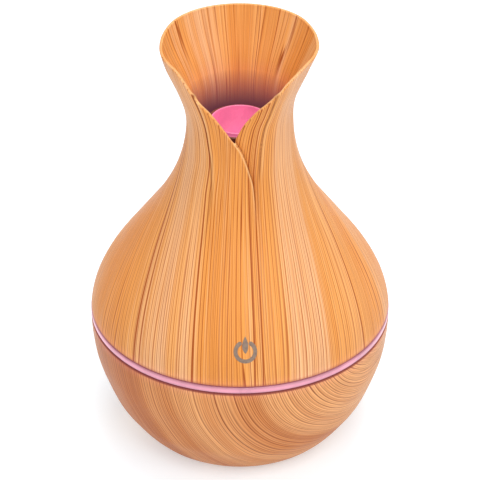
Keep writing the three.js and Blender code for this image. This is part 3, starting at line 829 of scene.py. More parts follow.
@dataclass(frozen=True)
class LitPlastic:
    """Translucent plastic with light inside it.

    Where middle is given, the light is strongest at that height and has dimmed at the distance half
    above and below it.  Both are in metres.
    """

    name: str
    base: Colour
    light: Colour
    strength: float
    mottle: float = 90.0
    roughness: float = 0.28
    middle: float | None = None
    half: float = 0.0009

    def material(self) -> bpy.types.Material:
        """Builds the material.

        Returns:
            The material.
        """
        s = Shader(self.name)
        cloud = s.noise(s.place(), self.mottle, 3.0)
        deep = tuple(0.72 * c for c in self.base)
        s.fix(Base_Color=s.ramp(cloud, [(0.3, deep), (0.7, self.base)]))
        s.fix(Roughness=s.span(cloud, 0.3, 0.7, self.roughness * 0.8, self.roughness * 1.25))
        s.fix(Emission_Color=(*self.light, 1.0))
        power = s.span(cloud, 0.3, 0.7, self.strength * 0.8, self.strength * 1.2)
        if self.middle is not None:
            away = s.math("ABSOLUTE", s.math("SUBTRACT", s.parts(s.place())[2], self.middle))
            power = s.math("MULTIPLY", power, s.span(away, self.half, 0.3 * self.half, 0.3, 1.35))
        s.fix(Emission_Strength=power)
        s.fix(IOR=1.49, Coat_Weight=0.3, Coat_Roughness=0.12)
        s.bumped(s.noise(s.place(), 900.0, 2.0), 0.00004, 0.5)
        return s.material


@dataclass(frozen=True)
class Moulded:
    """Moulded plastic, rubber or silicone: spark-eroded texture, cloudy tone and lighter rubbed scuffs."""

    name: str
    colour: Colour
    roughness: float = 0.5
    texture: float = 2600.0
    depth: float = 0.00003
    variation: float = 0.12
    coat: float = 0.0
    subsurface: float = 0.0

    def material(self) -> bpy.types.Material:
        """Builds the material.

        Returns:
            The material.
        """
        s = Shader(self.name)
        cloud = s.noise(s.place(), 55.0, 4.0)
        low = tuple(c * (1 - self.variation) for c in self.colour)
        high = tuple(min(1.0, c * (1 + self.variation)) for c in self.colour)
        colour = s.ramp(cloud, [(0.32, low), (0.68, high)])
        scuff = s.span(s.noise(s.stretched(s.place(), (1.0, 1.0, 9.0)), 240.0, 5.0), 0.62, 0.74)
        lighter = tuple(min(1.0, c * 1.12 + 0.02) for c in self.colour)
        s.fix(Base_Color=s.mix(s.math("MULTIPLY", scuff, 0.5), colour, lighter))
        rough = s.math("ADD", s.span(cloud, 0.3, 0.7, self.roughness * 0.85, self.roughness * 1.1),
                       s.math("MULTIPLY", scuff, 0.08))
        s.fix(Roughness=rough, Coat_Weight=self.coat, Coat_Roughness=0.2)
        s.fix(Subsurface_Weight=self.subsurface, Subsurface_Scale=0.002)
        s.bumped(s.noise(s.place(), self.texture, 2.0), self.depth)
        return s.material


@dataclass(frozen=True)
class BareMetal:
    """Turned, drawn or stamped metal with fine scratches."""

    name: str
    colour: Colour
    roughness: float = 0.28

    def material(self) -> bpy.types.Material:
        """Builds the material.

        Returns:
            The material.
        """
        s = Shader(self.name)
        scratch = s.noise(s.stretched(s.place(), (1.0, 1.0, 14.0)), 1500.0, 3.0, 0.7)
        cloud = s.noise(s.place(), 120.0, 3.0)
        dull = tuple(c * 0.8 for c in self.colour)
        s.fix(Base_Color=s.mix(s.span(cloud, 0.35, 0.65), self.colour, dull), Metallic=1.0)
        s.fix(Roughness=s.span(scratch, 0.3, 0.7, self.roughness * 0.7, self.roughness * 1.4))
        s.bumped(scratch, 0.000012)
        return s.material


@dataclass(frozen=True)
class CottonFibre:
    """Pressed white fibre of the wick."""

    name: str = "cotton_fibre"

    def material(self) -> bpy.types.Material:
        """Builds the material.

        Returns:
            The material.
        """
        s = Shader(self.name)
        strand = s.noise(s.stretched(s.place(), (1.0, 1.0, 0.06)), 2400.0, 4.0, 0.7)
        damp = s.noise(s.place(), 45.0, 2.0)
        colour = s.ramp(strand, [(0.3, srgb(214, 205, 184)), (0.7, srgb(250, 247, 238))])
        s.fix(Base_Color=s.mix(s.span(damp, 0.5, 0.7, 0.0, 0.35), colour, srgb(228, 214, 186)))
        s.fix(Roughness=s.span(strand, 0.3, 0.7, 0.8, 0.98), Sheen_Weight=0.3)
        s.bumped(strand, 0.0001)
        return s.material


@dataclass(frozen=True)
class SolderMask:
    """Green lacquered glass-fibre board with tracks and pads showing through."""

    name: str = "solder_mask"

    def material(self) -> bpy.types.Material:
        """Builds the material.

        Returns:
            The material.
        """
        s = Shader(self.name)
        cell = s.tree.nodes.new("ShaderNodeTexVoronoi")
        cell.feature = "DISTANCE_TO_EDGE"
        cell.distance = "EUCLIDEAN"
        s.link(s.place(), cell, "Vector")
        cell.inputs["Scale"].default_value = 260.0
        track = s.span(cell.outputs["Distance"], 0.05, 0.08, 1.0, 0.0)
        weave = s.noise(s.place(), 1800.0, 2.0)
        ground = s.ramp(weave, [(0.35, srgb(18, 84, 50)), (0.65, srgb(26, 104, 62))])
        s.fix(Base_Color=s.mix(s.math("MULTIPLY", track, 0.7), ground, srgb(46, 140, 84)))
        s.fix(Roughness=s.span(weave, 0.3, 0.7, 0.28, 0.4), Coat_Weight=0.4, Coat_Roughness=0.15)
        s.bumped(track, 0.00004)
        return s.material


@dataclass(frozen=True)
class PrintedInk:
    """Screen-printed grey ink, slightly uneven."""

    name: str = "printed_ink"

    def material(self) -> bpy.types.Material:
        """Builds the material.

        Returns:
            The material.
        """
        s = Shader(self.name)
        patchy = s.noise(s.place(), 1400.0, 3.0)
        s.fix(Base_Color=s.ramp(patchy, [(0.3, srgb(116, 96, 84)), (0.7, srgb(138, 116, 100))]))
        s.fix(Roughness=s.span(patchy, 0.3, 0.7, 0.38, 0.55))
        s.bumped(patchy, 0.00001)
        return s.material


class Finishes:
    """Every finish, built once."""

    def __init__(self) -> None:
        """Builds the materials."""
        self.vase_wood = WoodFilm("vase_wood_film", Figure.STRAIGHT).material()
        # The bowl's print has its own arched grain, and its colours are set darker than the vase's to paint
        # the shade on the lower bowl.
        self.shaded_bowl_wood = WoodFilm(
            "bowl_wood_film", Figure.ARCHED, seed=40.0, pale=srgb(234, 168, 108),
            golden=srgb(208, 132, 72), orange=srgb(190, 110, 54), line=srgb(120, 46, 10),
        ).material()
        self.ink = PrintedInk().material()
        band = LitPlastic("band_glow", (0.50, 0.21, 0.26), (1.0, 0.36, 0.52), 0.26, middle=0.04465)
        self.nozzle = LitPlastic("nozzle_glow", (0.78, 0.22, 0.38), (1.0, 0.17, 0.42), 0.30).material()
        white = srgb(240, 238, 230)
        self.by_slot: dict[Slot, bpy.types.Material] = {
            Slot.WOOD: self.vase_wood,
            Slot.GLOW: band.material(),
            Slot.WHITE: Moulded("white_moulding", white, 0.42, variation=0.03, subsurface=0.1).material(),
            Slot.SLEEVE: Moulded("brown_moulding", srgb(112, 60, 40), 0.5, variation=0.12).material(),
            Slot.SILICONE: Moulded("pale_silicone", srgb(222, 218, 210), 0.62, 1200.0,
                                   variation=0.05, subsurface=0.2).material(),
            Slot.FOOT: Moulded("foot_rubber", srgb(58, 56, 54), 0.8, 1600.0, 0.00006, 0.2).material(),
            Slot.BOARD: SolderMask().material(),
            Slot.EPOXY: Moulded("black_epoxy", srgb(30, 30, 32), 0.45, 3200.0, variation=0.2).material(),
            Slot.LED: LitPlastic("led_lens", (0.9, 0.6, 0.55), (1.0, 0.3, 0.45), 2.0).material(),
            Slot.STEEL: BareMetal("bright_steel", srgb(205, 207, 210)).material(),
            Slot.BRONZE: BareMetal("phosphor_bronze", srgb(214, 164, 92), 0.3).material(),
            Slot.CAN: BareMetal("drawn_aluminium", srgb(214, 216, 220), 0.34).material(),
            Slot.CERAMIC: Moulded("fired_ceramic", srgb(206, 196, 170), 0.55, variation=0.1).material(),
            Slot.WICK: CottonFibre().material(),
            Slot.RED_LEAD: Moulded("red_insulation", srgb(180, 32, 36), 0.45, coat=0.2).material(),
            Slot.BLACK_LEAD: Moulded("black_insulation", srgb(32, 32, 34), 0.45, coat=0.2).material(),
        }


# ------------------------------------------------------------------ geometry nodes
class NodesTree:
    """A geometry-nodes tree with named inputs, which dresses its shape in a finish at the end."""

    label = ""
    inputs: tuple[tuple[str, str], ...] = ()

    def __init__(self) -> None:
        """Builds the tree with its named inputs."""
        self.tree = bpy.data.node_groups.new(self.label, "GeometryNodeTree")
        face = self.tree.interface
        face.new_socket("Geometry", in_out="INPUT", socket_type="NodeSocketGeometry")
        self.sockets = {
            name: face.new_socket(name, in_out="INPUT", socket_type=f"NodeSocket{kind}").identifier
            for name, kind in (*self.inputs, ("Finish", "Material"))
        }
        face.new_socket("Geometry", in_out="OUTPUT", socket_type="NodeSocketGeometry")
        self.add, self.link = self.tree.nodes.new, self.tree.links.new
        start, end = self.add("NodeGroupInput"), self.add("NodeGroupOutput")
        real, dress = self.add("GeometryNodeRealizeInstances"), self.add("GeometryNodeSetMaterial")
        self.link(self._shape(start.outputs), real.inputs[0])
        self.link(real.outputs[0], dress.inputs["Geometry"])
        self.link(start.outputs["Finish"], dress.inputs["Material"])
        self.link(dress.outputs[0], end.inputs[0])

    def _shape(self, given: bpy.types.bpy_prop_collection) -> bpy.types.NodeSocket:
        """Adds the nodes between the named inputs and the shape; every tree has its own."""
        raise NotImplementedError

    def _made(
        self, name: str, settings: dict[str, object], *used: bpy.types.Object
    ) -> bpy.types.Object:
        """Keeps what the tree makes as a plain mesh and removes the objects it used.

        Args:
            name: the new object's name.
            settings: a value for every named input.
            used: objects that are not needed afterwards.

        Returns:
            The new object.
        """
        holder = bpy.data.objects.new(name, bpy.data.meshes.new(name))
        bpy.context.scene.collection.objects.link(holder)
        modifier = holder.modifiers.new(self.label, "NODES")
        modifier.node_group = self.tree
        for label, value in settings.items():
            modifier[self.sockets[label]] = value
        settle(holder)
        for thing in used:
            bpy.data.objects.remove(thing)
        return holder


class RingOfItems(NodesTree):
    """A geometry-nodes tree that sets copies of an item evenly round the axis."""

    label = "ring_of_items"
    inputs = (
        ("Item", "Object"), ("Count", "Int"), ("Radius", "Float"), ("Height", "Float"),
        ("First azimuth", "Float"),
    )

    def _math(self, operation: str, *sources: object) -> bpy.types.NodeSocket:
        """A math node on sockets or numbers."""
        node = self.add("ShaderNodeMath")
        node.operation = operation
        for index, source in enumerate(sources):
            if isinstance(source, bpy.types.NodeSocket):
                self.link(source, node.inputs[index])
            else:
                node.inputs[index].default_value = source
        return node.outputs[0]

    def _shape(self, given: bpy.types.bpy_prop_collection) -> bpy.types.NodeSocket:
        """Puts the copies on points round the axis, each turned to look outwards.

        Args:
            given: the tree's named inputs.

        Returns:
            The copies.
        """
        add, link = self.add, self.link
        points, index = add("GeometryNodePoints"), add("GeometryNodeInputIndex")
        link(given["Count"], points.inputs["Count"])
        pitch = self._math("DIVIDE", 2 * math.pi, given["Count"])
        turn = self._math("MULTIPLY_ADD", index.outputs[0], pitch, given["First azimuth"])
        spot = add("ShaderNodeCombineXYZ")
        link(self._math("MULTIPLY", self._math("SINE", turn), given["Radius"]), spot.inputs[0])
        across = self._math("MULTIPLY", self._math("COSINE", turn), given["Radius"])
        link(self._math("MULTIPLY", across, -1.0), spot.inputs[1])
        link(given["Height"], spot.inputs[2])
        place = add("GeometryNodeSetPosition")
        link(points.outputs[0], place.inputs["Geometry"])
        link(spot.outputs[0], place.inputs["Position"])
        facing = add("ShaderNodeCombineXYZ")
        link(turn, facing.inputs[2])
        item = add("GeometryNodeObjectInfo")
        link(given["Item"], item.inputs["Object"])
        copies = add("GeometryNodeInstanceOnPoints")
        link(place.outputs[0], copies.inputs["Points"])
        link(item.outputs["Geometry"], copies.inputs["Instance"])
        link(facing.outputs[0], copies.inputs["Rotation"])
        return copies.outputs[0]

    def make(
        self,
        name: str,
        item: bpy.types.Object,
        count: int,
        radius: float,
        height: float,
        first: float,
        finish: bpy.types.Material,
    ) -> bpy.types.Object:
        """Makes one plain mesh of copies and removes the item.

        Args:
            name: the piece's name.
            item: what is copied, modelled at the origin with -Y outwards.
            count: how many copies.
            radius: distance from the axis, in millimetres.
            height: height of the item's origin, in millimetres.
            first: azimuth of the first copy, in degrees.
            finish: material of the copies.

        Returns:
            The new object.
        """
        settings = {
            "Item": item, "Count": count, "Radius": radius * MM, "Height": height * MM,
            "First azimuth": math.radians(first), "Finish": finish,
        }
        return self._made(name, settings, item)


class CoilSpring(NodesTree):
    """A geometry-nodes tree that winds a round wire into a spring."""

    label = "coil_spring"
    inputs = (
        ("Turns", "Float"), ("Radius", "Float"), ("Height", "Float"), ("Wire", "Float"),
        ("Lift", "Float"),
    )
    steps_per_turn = 40
    wire_sides = 12

    def _shape(self, given: bpy.types.bpy_prop_collection) -> bpy.types.NodeSocket:
        """Winds the wire and lifts the spring to its height.

        Args:
            given: the tree's named inputs.

        Returns:
            The spring.
        """
        add, link = self.add, self.link
        spiral, wire = add("GeometryNodeCurveSpiral"), add("GeometryNodeCurvePrimitiveCircle")
        spiral.inputs["Resolution"].default_value = self.steps_per_turn
        wire.inputs["Resolution"].default_value = self.wire_sides
        link(given["Turns"], spiral.inputs["Rotations"])
        link(given["Radius"], spiral.inputs["Start Radius"])
        link(given["Radius"], spiral.inputs["End Radius"])
        link(given["Height"], spiral.inputs["Height"])
        link(given["Wire"], wire.inputs["Radius"])
        wound = add("GeometryNodeCurveToMesh")
        wound.inputs["Fill Caps"].default_value = True
        link(spiral.outputs[0], wound.inputs["Curve"])
        link(wire.outputs[0], wound.inputs["Profile Curve"])
        offset, move = add("ShaderNodeCombineXYZ"), add("GeometryNodeTransform")
        link(given["Lift"], offset.inputs[2])
        link(wound.outputs[0], move.inputs["Geometry"])
        link(offset.outputs[0], move.inputs["Translation"])
        return move.outputs[0]

    def make(
        self, name: str, turns: float, radius: float, wire: float,
        low: float, high: float, finish: bpy.types.Material,
    ) -> bpy.types.Object:
        """Makes the spring, all lengths in millimetres.

        Args:
            name: the piece's name.
            turns: how many turns.
            radius: from the axis to the middle of the wire.
            wire: the wire's radius.
            low: height of the spring's underside.
            high: height of its top.
            finish: material of the spring.

        Returns:
            The new object.
        """
        settings = {
            "Turns": turns, "Radius": radius * MM, "Height": (high - low - 2 * wire) * MM,
            "Wire": wire * MM, "Lift": (low + wire) * MM, "Finish": finish,
        }
        spring = self._made(name, settings)
        spring.data.shade_smooth()
        return spring


# ------------------------------------------------------------------ the workshop
@dataclass
class Workshop:
    """What every sub-assembly shares: finishes and geometry-nodes trees."""

    finishes: Finishes
    ring: RingOfItems
    coil: CoilSpring

    def finish(self, slot: Slot) -> bpy.types.Material:
        """The material of a slot."""
        return self.finishes.by_slot[slot]

    def set_in(
        self, piece: bpy.types.Object, body: str, slot: Slot, *nodes: str
    ) -> bpy.types.Object:
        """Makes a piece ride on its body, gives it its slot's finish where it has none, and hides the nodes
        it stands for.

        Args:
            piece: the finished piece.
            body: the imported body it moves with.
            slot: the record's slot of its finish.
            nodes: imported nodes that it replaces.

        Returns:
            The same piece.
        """
        if not piece.data.materials:
            piece.data.materials.append(self.finish(slot))
        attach(piece, body)
        if nodes:
            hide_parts(*nodes)
        log.info("%s rides on %s, %d faces", piece.name, body, len(piece.data.polygons))
        return piece

    def turn_in(
        self, name: str, section: Points, body: str, slot: Slot, *nodes: str,
        columns: int = 96, corner: float = 0.35,
    ) -> bpy.types.Object:
        """Turns a section, sets the piece in and returns it."""
        piece = turned(name, section, columns, corner, self.finish(slot))
        return self.set_in(piece, body, slot, *nodes)

    def ring_in(
        self, name: str, item: bpy.types.Object, spread: tuple[int, float, float, float],
        body: str, slot: Slot, *nodes: str, sharp_angle: float | None = None,
    ) -> None:
        """Sets in a ring of copies of an item.

        Args:
            name: the piece's name.
            item: what is copied, modelled at the origin with -Y outwards.
            spread: count, radius and height in millimetres, azimuth of the first in degrees.
            body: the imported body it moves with.
            slot: the record's slot of its finish.
            nodes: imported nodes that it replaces.
            sharp_angle: where given, the copies are shaded smooth up to this angle.
        """
        ring = self.ring.make(name, item, *spread, self.finish(slot))
        if sharp_angle is not None:
            shade(ring, sharp_angle)
        self.set_in(ring, body, slot, *nodes)


# ------------------------------------------------------------------ sub-assemblies
@dataclass
class VaseShell:
    """The wood-grain vase with its two lapping petals."""

    shop: Workshop
    low: float = 46.0
    top: float = 142.0
    wall: float = 2.0
    rim_wall: float = 1.0
    bend_low: float = 84.0
    edge_column: float = 10.0
    tuck_depth: float = 1.35
    lap_low: float = 82.0
    lap_full: float = 101.0
    grain_radius: float = 49.0
    grain_spread: float = 0.6
    print_offset: float = 0.05

    def columns(self) -> np.ndarray:
        """Azimuths of the mesh columns, closer together at the lap and at the folds."""
        edge = self.edge_column
        return np.concatenate([
            np.arange(-180, -72, 2.0), np.arange(-72, -4, 1.0), np.arange(-4, edge - 1, 0.7),
            edge + np.array([-0.9, -0.5, -0.2, 0.0, 0.2, 0.45, 0.75, 1.1, 1.6, 2.3]),
            np.arange(edge + 3, 60, 1.0), np.arange(60, 180, 2.0),
        ])

    def placed_azimuth(self, column: np.ndarray, z: np.ndarray) -> np.ndarray:
        """Where a column ends up when one column is bent along the petal's edge."""
        lean = np.where(column < self.edge_column, smoothstep(column, -70, 6),
                        1 - smoothstep(column, 14, 92))
        return column + (VASE.edge(z) - self.edge_column) * lean

    def relief(self, azimuth: np.ndarray, z: np.ndarray, column: np.ndarray) -> np.ndarray:
        """How far the wall stands proud of the outline: the lap, its lip, the fold and the crease."""
        edge, fold, crease = VASE.edge(z), VASE.fold(z), VASE.crease(z)
        lap = smoothstep(z, self.lap_low, self.lap_full)
        past = azimuth - edge
        share = np.clip((fold - azimuth) / np.maximum(fold - edge, 1.0), 0.0, 1.0)
        flare = smoothstep(z, 112, 126) * (1 - 0.6 * smoothstep(z, 134, self.top))
        lean = flare * (0.9 * bump(azimuth + 78, 45) - 0.6 * bump(azimuth - 78, 45))
        tucked = -self.tuck_depth * lap * share ** 0.8 * smoothstep(column - self.edge_column, 0.0, 0.8)
        lip = 0.45 * lap * bump(past, 7.0) * (column <= self.edge_column)
        round_over = -0.3 * lap * bump(column - self.edge_column, 0.5)
        high = smoothstep(z, 98, 110)
        ridge = 0.32 * high * bump(azimuth - fold - 3.2, 3.0) - 0.28 * high * bump(azimuth - fold, 0.9)
        left = smoothstep(z, 90, 108)
        pleat = 0.34 * left * bump(azimuth - crease - 3.6, 3.4) - 0.4 * left * bump(azimuth - crease, 1.0)
        return lean + tucked + lip + round_over + ridge + pleat

    def surface(
        self, column: np.ndarray, share: np.ndarray, inset: np.ndarray, extra: np.ndarray
    ) -> tuple[np.ndarray, np.ndarray, np.ndarray]:
        """Points of the wall.

        Args:
            column: nominal azimuths, a row.
            share: heights as they would be on a level-topped vase, a column.
            inset: depth below the outer surface, a column.
            extra: height added after the bending, a column.

        Returns:
            The points, their azimuths and their heights.
        """
        rim = VASE.rim(self.placed_azimuth(column, np.array(self.top)))
        part = np.maximum(0.0, (share - self.bend_low) / (self.top - self.bend_low))
        crown = self.rim_wall / 2
        bent = self.bend_low + part * (rim - crown - self.bend_low)
        z = np.where(share < self.bend_low, share, bent)
        azimuth = self.placed_azimuth(column, z)
        column = np.broadcast_to(column, z.shape)
        radius = VASE.radius(z) - inset + self.relief(azimuth, z, column)
        return polar(azimuth, radius, z + extra), azimuth, z

    def grain(
        self, azimuth: np.ndarray, z: np.ndarray, column: np.ndarray, inner: np.ndarray
    ) -> np.ndarray:
        """Where each point lies in the printed grain.

        The film narrows less than the neck does, so its lines spread apart in azimuth as they rise;
        beside the right fold and the left crease they run along them.

        Args:
            azimuth: azimuths of the points.
            z: heights of the points.
            column: nominal azimuths, before the petal edge bends them.
            inner: 1 on the inner wall, 0 on the outer.

        Returns:
            Two lengths that turn about the origin, and the height.
        """
        spread = (VASE.radius(z) / self.grain_radius) ** self.grain_spread
        past_edge = smoothstep(column, self.edge_column - 0.4, self.edge_column + 0.8)
        right = (VASE.fold(z) - 9.4 / spread) * past_edge * (1 - smoothstep(azimuth, 30, 80))
        right = right * smoothstep(z, 90, 106)
        left = (VASE.crease(z) + 19.7 / spread) * smoothstep(azimuth, -100, -45)
        left = left * (1 - smoothstep(azimuth, -34, -10)) * smoothstep(z, 96, 112)
        share = (1 - smoothstep(np.abs(azimuth), 95, 178)) * (1 - inner)
        turn = np.radians((azimuth - (right + left) * (1 - inner)) * (1 - share * (1 - spread)))
        r = self.grain_radius
        return np.stack([r * np.cos(turn), r * np.sin(turn), z], axis=-1)

    def build(self) -> bpy.types.Object:
        """Builds the vase's wall as one closed skin."""
        crown = self.rim_wall / 2
        foot_round = 0.3
        outer_z = np.concatenate([
            [self.low + foot_round], np.arange(self.low + 1.2, self.bend_low, 1.6),
            np.linspace(self.bend_low, self.top, 66),
        ])
        arc = np.linspace(0, math.pi, 9)[1:-1]
        inner_z = outer_z[::-1]
        wall = self.wall + (self.rim_wall - self.wall) * smoothstep(inner_z, 112, self.top)
        share = np.concatenate([outer_z, np.full(len(arc), self.top), inner_z, [self.low, self.low]])
        inset = np.concatenate([
            np.zeros(len(outer_z)), crown - crown * np.cos(arc), wall,
            [self.wall - foot_round, foot_round],
        ])
        extra = np.concatenate([
            np.zeros(len(outer_z)), crown * np.sin(arc), np.zeros(len(inner_z)), [0.0, 0.0],
        ])
        column = self.columns()
        points, azimuth, z = self.surface(
            column[None], share[:, None], inset[:, None], extra[:, None])
        shell = mesh_object(
            "vase_shell", points.reshape(-1, 3), grid_faces(len(share), len(column), True), 50.0)
        # rim: 0 outside, rising over the rounded rim, 1 inside; from it the film paints a highlight on the
        # rim's crown and shade deep in the neck.
        rim = np.concatenate([
            np.zeros(len(outer_z)), np.linspace(0.1, 0.9, len(arc)), np.ones(len(inner_z)), [0.6, 0.0]])
        columns = np.broadcast_to(column, z.shape)
        inner = smoothstep(rim, 0.35, 0.6)[:, None]
        add_attribute(shell, "grain", self.grain(azimuth, z, columns, inner).reshape(-1, 3))
        add_attribute(shell, "rim", np.broadcast_to(rim[:, None], z.shape).ravel())
        # Painted shade along the fold, the crease, the lap's edge and the foot.
        add_attribute(shell, "line", self.painted_shade_lines(azimuth, z, columns).ravel())
        # Painted highlight along the lips.
        add_attribute(shell, "lip", self.lip_highlights(azimuth, z, columns).ravel())
        shell.data.materials.append(self.shop.finishes.vase_wood)
        self.cut_socket_slot(shell)
        return self.shop.set_in(shell, "head", Slot.WOOD, "upper_shell")

    def painted_shade_lines(self, azimuth: np.ndarray, z: np.ndarray, column: np.ndarray) -> np.ndarray:
        """Strength of the painted shade: dark lines in the fold, the crease and under the lap, and a darker
        foot where the wall meets the band.
        """
        fold = bump(azimuth - VASE.fold(z), 0.8) * smoothstep(z, 99, 106)
        crease = bump(azimuth - VASE.crease(z), 0.8) * smoothstep(z, 78, 104)
        lap = bump(column - self.edge_column - 0.8, 0.5) * smoothstep(z, 86, 102)
        foot = 0.6 * smoothstep(z, self.low + 0.7, self.low + 0.3)
        return np.clip(0.9 * fold + 0.8 * crease + 0.6 * lap + foot, 0.0, 1.0)

    def lip_highlights(self, azimuth: np.ndarray, z: np.ndarray, column: np.ndarray) -> np.ndarray:
        """Strength of the painted highlight on the lips of the left petal, the fold and the crease."""
        lap = bump(column - self.edge_column + 0.5, 0.9) * smoothstep(z, 86, 104)
        fold = 0.5 * bump(azimuth - VASE.fold(z) - 2.4, 1.4) * smoothstep(z, 100, 108)
        crease = 0.5 * bump(azimuth - VASE.crease(z) - 2.6, 1.6) * smoothstep(z, 90, 106)
        return np.clip(lap + fold + crease, 0.0, 1.0)

    def cut_socket_slot(self, shell: bpy.types.Object) -> None:
        """Opens the wall where the socket's mouth is."""
        low, high = (np.array(corner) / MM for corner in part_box("usb_socket"))
        spare = 0.5
        tool = block(
            "slot_tool", (low[0] - spare, high[1] - 6, low[2] - spare),
            (high[0] + spare, high[1] + 6, high[2] + spare), 0.6)
        cut_away(shell, tool)

    def power_symbol(self) -> bpy.types.Object:
        """The printed power symbol: an open ring with a leaf-shaped pointer, as a thin ink layer."""
        middle, mean, half = 57.2, 3.05, 0.62
        opening = math.radians(33)
        angle = np.linspace(opening, 2 * math.pi - opening, 57)
        cap = np.linspace(0, math.pi, 7)[1:-1]
        outer = np.stack([np.sin(angle), np.cos(angle)], -1) * (mean + half)
        inner = np.stack([np.sin(angle), np.cos(angle)], -1)[::-1] * (mean - half)

        def end_cap(at: float, turn: float) -> np.ndarray:
            """The rounded end of the ring's stroke."""
            centre = np.array([math.sin(at), math.cos(at)]) * mean
            radial, along = centre / mean, np.array([math.cos(at), -math.sin(at)]) * turn
            return np.array([centre + half * (radial * math.cos(c) + along * math.sin(c)) for c in cap])

        last, first = end_cap(angle[-1], 1.0), end_cap(angle[0], -1.0)[::-1]
        outline = np.vstack([outer, last, inner, first])
        tip, tail, belly = 4.75, -0.6, 0.95
        rise = np.linspace(0, 1, 15)
        width = belly * np.sin(math.pi * rise ** 0.85) ** 0.9
        side = np.stack([width, tail + (tip - tail) * rise], -1)
        leaf = np.vstack([side, (side * [-1, 1])[::-1][1:-1]])
        parts = [self.ink_layer("power_symbol", outline, middle), self.ink_layer("leaf", leaf, middle)]
        symbol = joined("power_symbol", parts)
        symbol.data.materials.append(self.shop.finishes.ink)
        return self.shop.set_in(symbol, "head", Slot.WOOD)

    def ink_layer(self, name: str, outline: np.ndarray, middle: float) -> bpy.types.Object:
        """A thin closed layer with the given outline, laid on the front of the vase.

        Args:
            name: the layer's name.
            outline: across and up-the-wall lengths from the symbol's middle.
            middle: height of the symbol's middle.

        Returns:
            The layer as an object.
        """
        flat = bpy.data.meshes.new(name)
        flat.from_pydata([(a, b, 0.0) for a, b in outline], [], [tuple(range(len(outline)))])
        flat_obj = bpy.data.objects.new(name, flat)
        bpy.context.scene.collection.objects.link(flat_obj)
        fill = flat_obj.modifiers.new("fill", "TRIANGULATE")
        fill.ngon_method = "BEAUTY"
        settle(flat_obj)
        triangles = [tuple(p.vertices) for p in flat_obj.data.polygons]
        bpy.data.objects.remove(flat_obj)
        slope = math.atan((VASE.radius(middle + 1) - VASE.radius(middle - 1)) / 2)
        z = middle + outline[:, 1] * math.cos(slope)
        radius = VASE.radius(z)
        azimuth = np.degrees(outline[:, 0] / radius)
        top = polar(azimuth, radius + self.print_offset, z)
        bottom = polar(azimuth, radius - self.print_offset, z)
        n = len(outline)
        faces = triangles + [tuple(n + i for i in t[::-1]) for t in triangles]
        faces += [(i, n + i, n + (i + 1) % n, (i + 1) % n) for i in range(n)]
        layer = mesh_object(name, np.vstack([top, bottom]), faces)
        _point_outwards(layer)
        return layer


def _point_outwards(obj: bpy.types.Object) -> None:
    """Makes the faces of a closed mesh look outwards.

    Args:
        obj: the object whose mesh is closed.
    """
    work = bmesh.new()
    work.from_mesh(obj.data)
    bmesh.ops.recalc_face_normals(work, faces=work.faces[:])
    work.to_mesh(obj.data)
    work.free()


@dataclass
class LightBand:
    """The translucent band between vase and bowl."""

    shop: Workshop
    low: float = 43.6
    high: float = 45.7
    leg_inner: float = 44.4
    leg_outer: float = 45.6
    leg_top: float = 51.5

    def build(self) -> None:
        """Builds the band."""
        outer = float(VASE.radius(44.6))
        section = [
            (self.leg_inner, self.low), (outer, self.low), (outer, self.high),
            (self.leg_outer, self.high), (self.leg_outer, self.leg_top),
            (self.leg_inner, self.leg_top),
        ]
        self.shop.turn_in("light_band", section, "head", Slot.GLOW, "light_ring",
                          columns=240, corner=0.45)


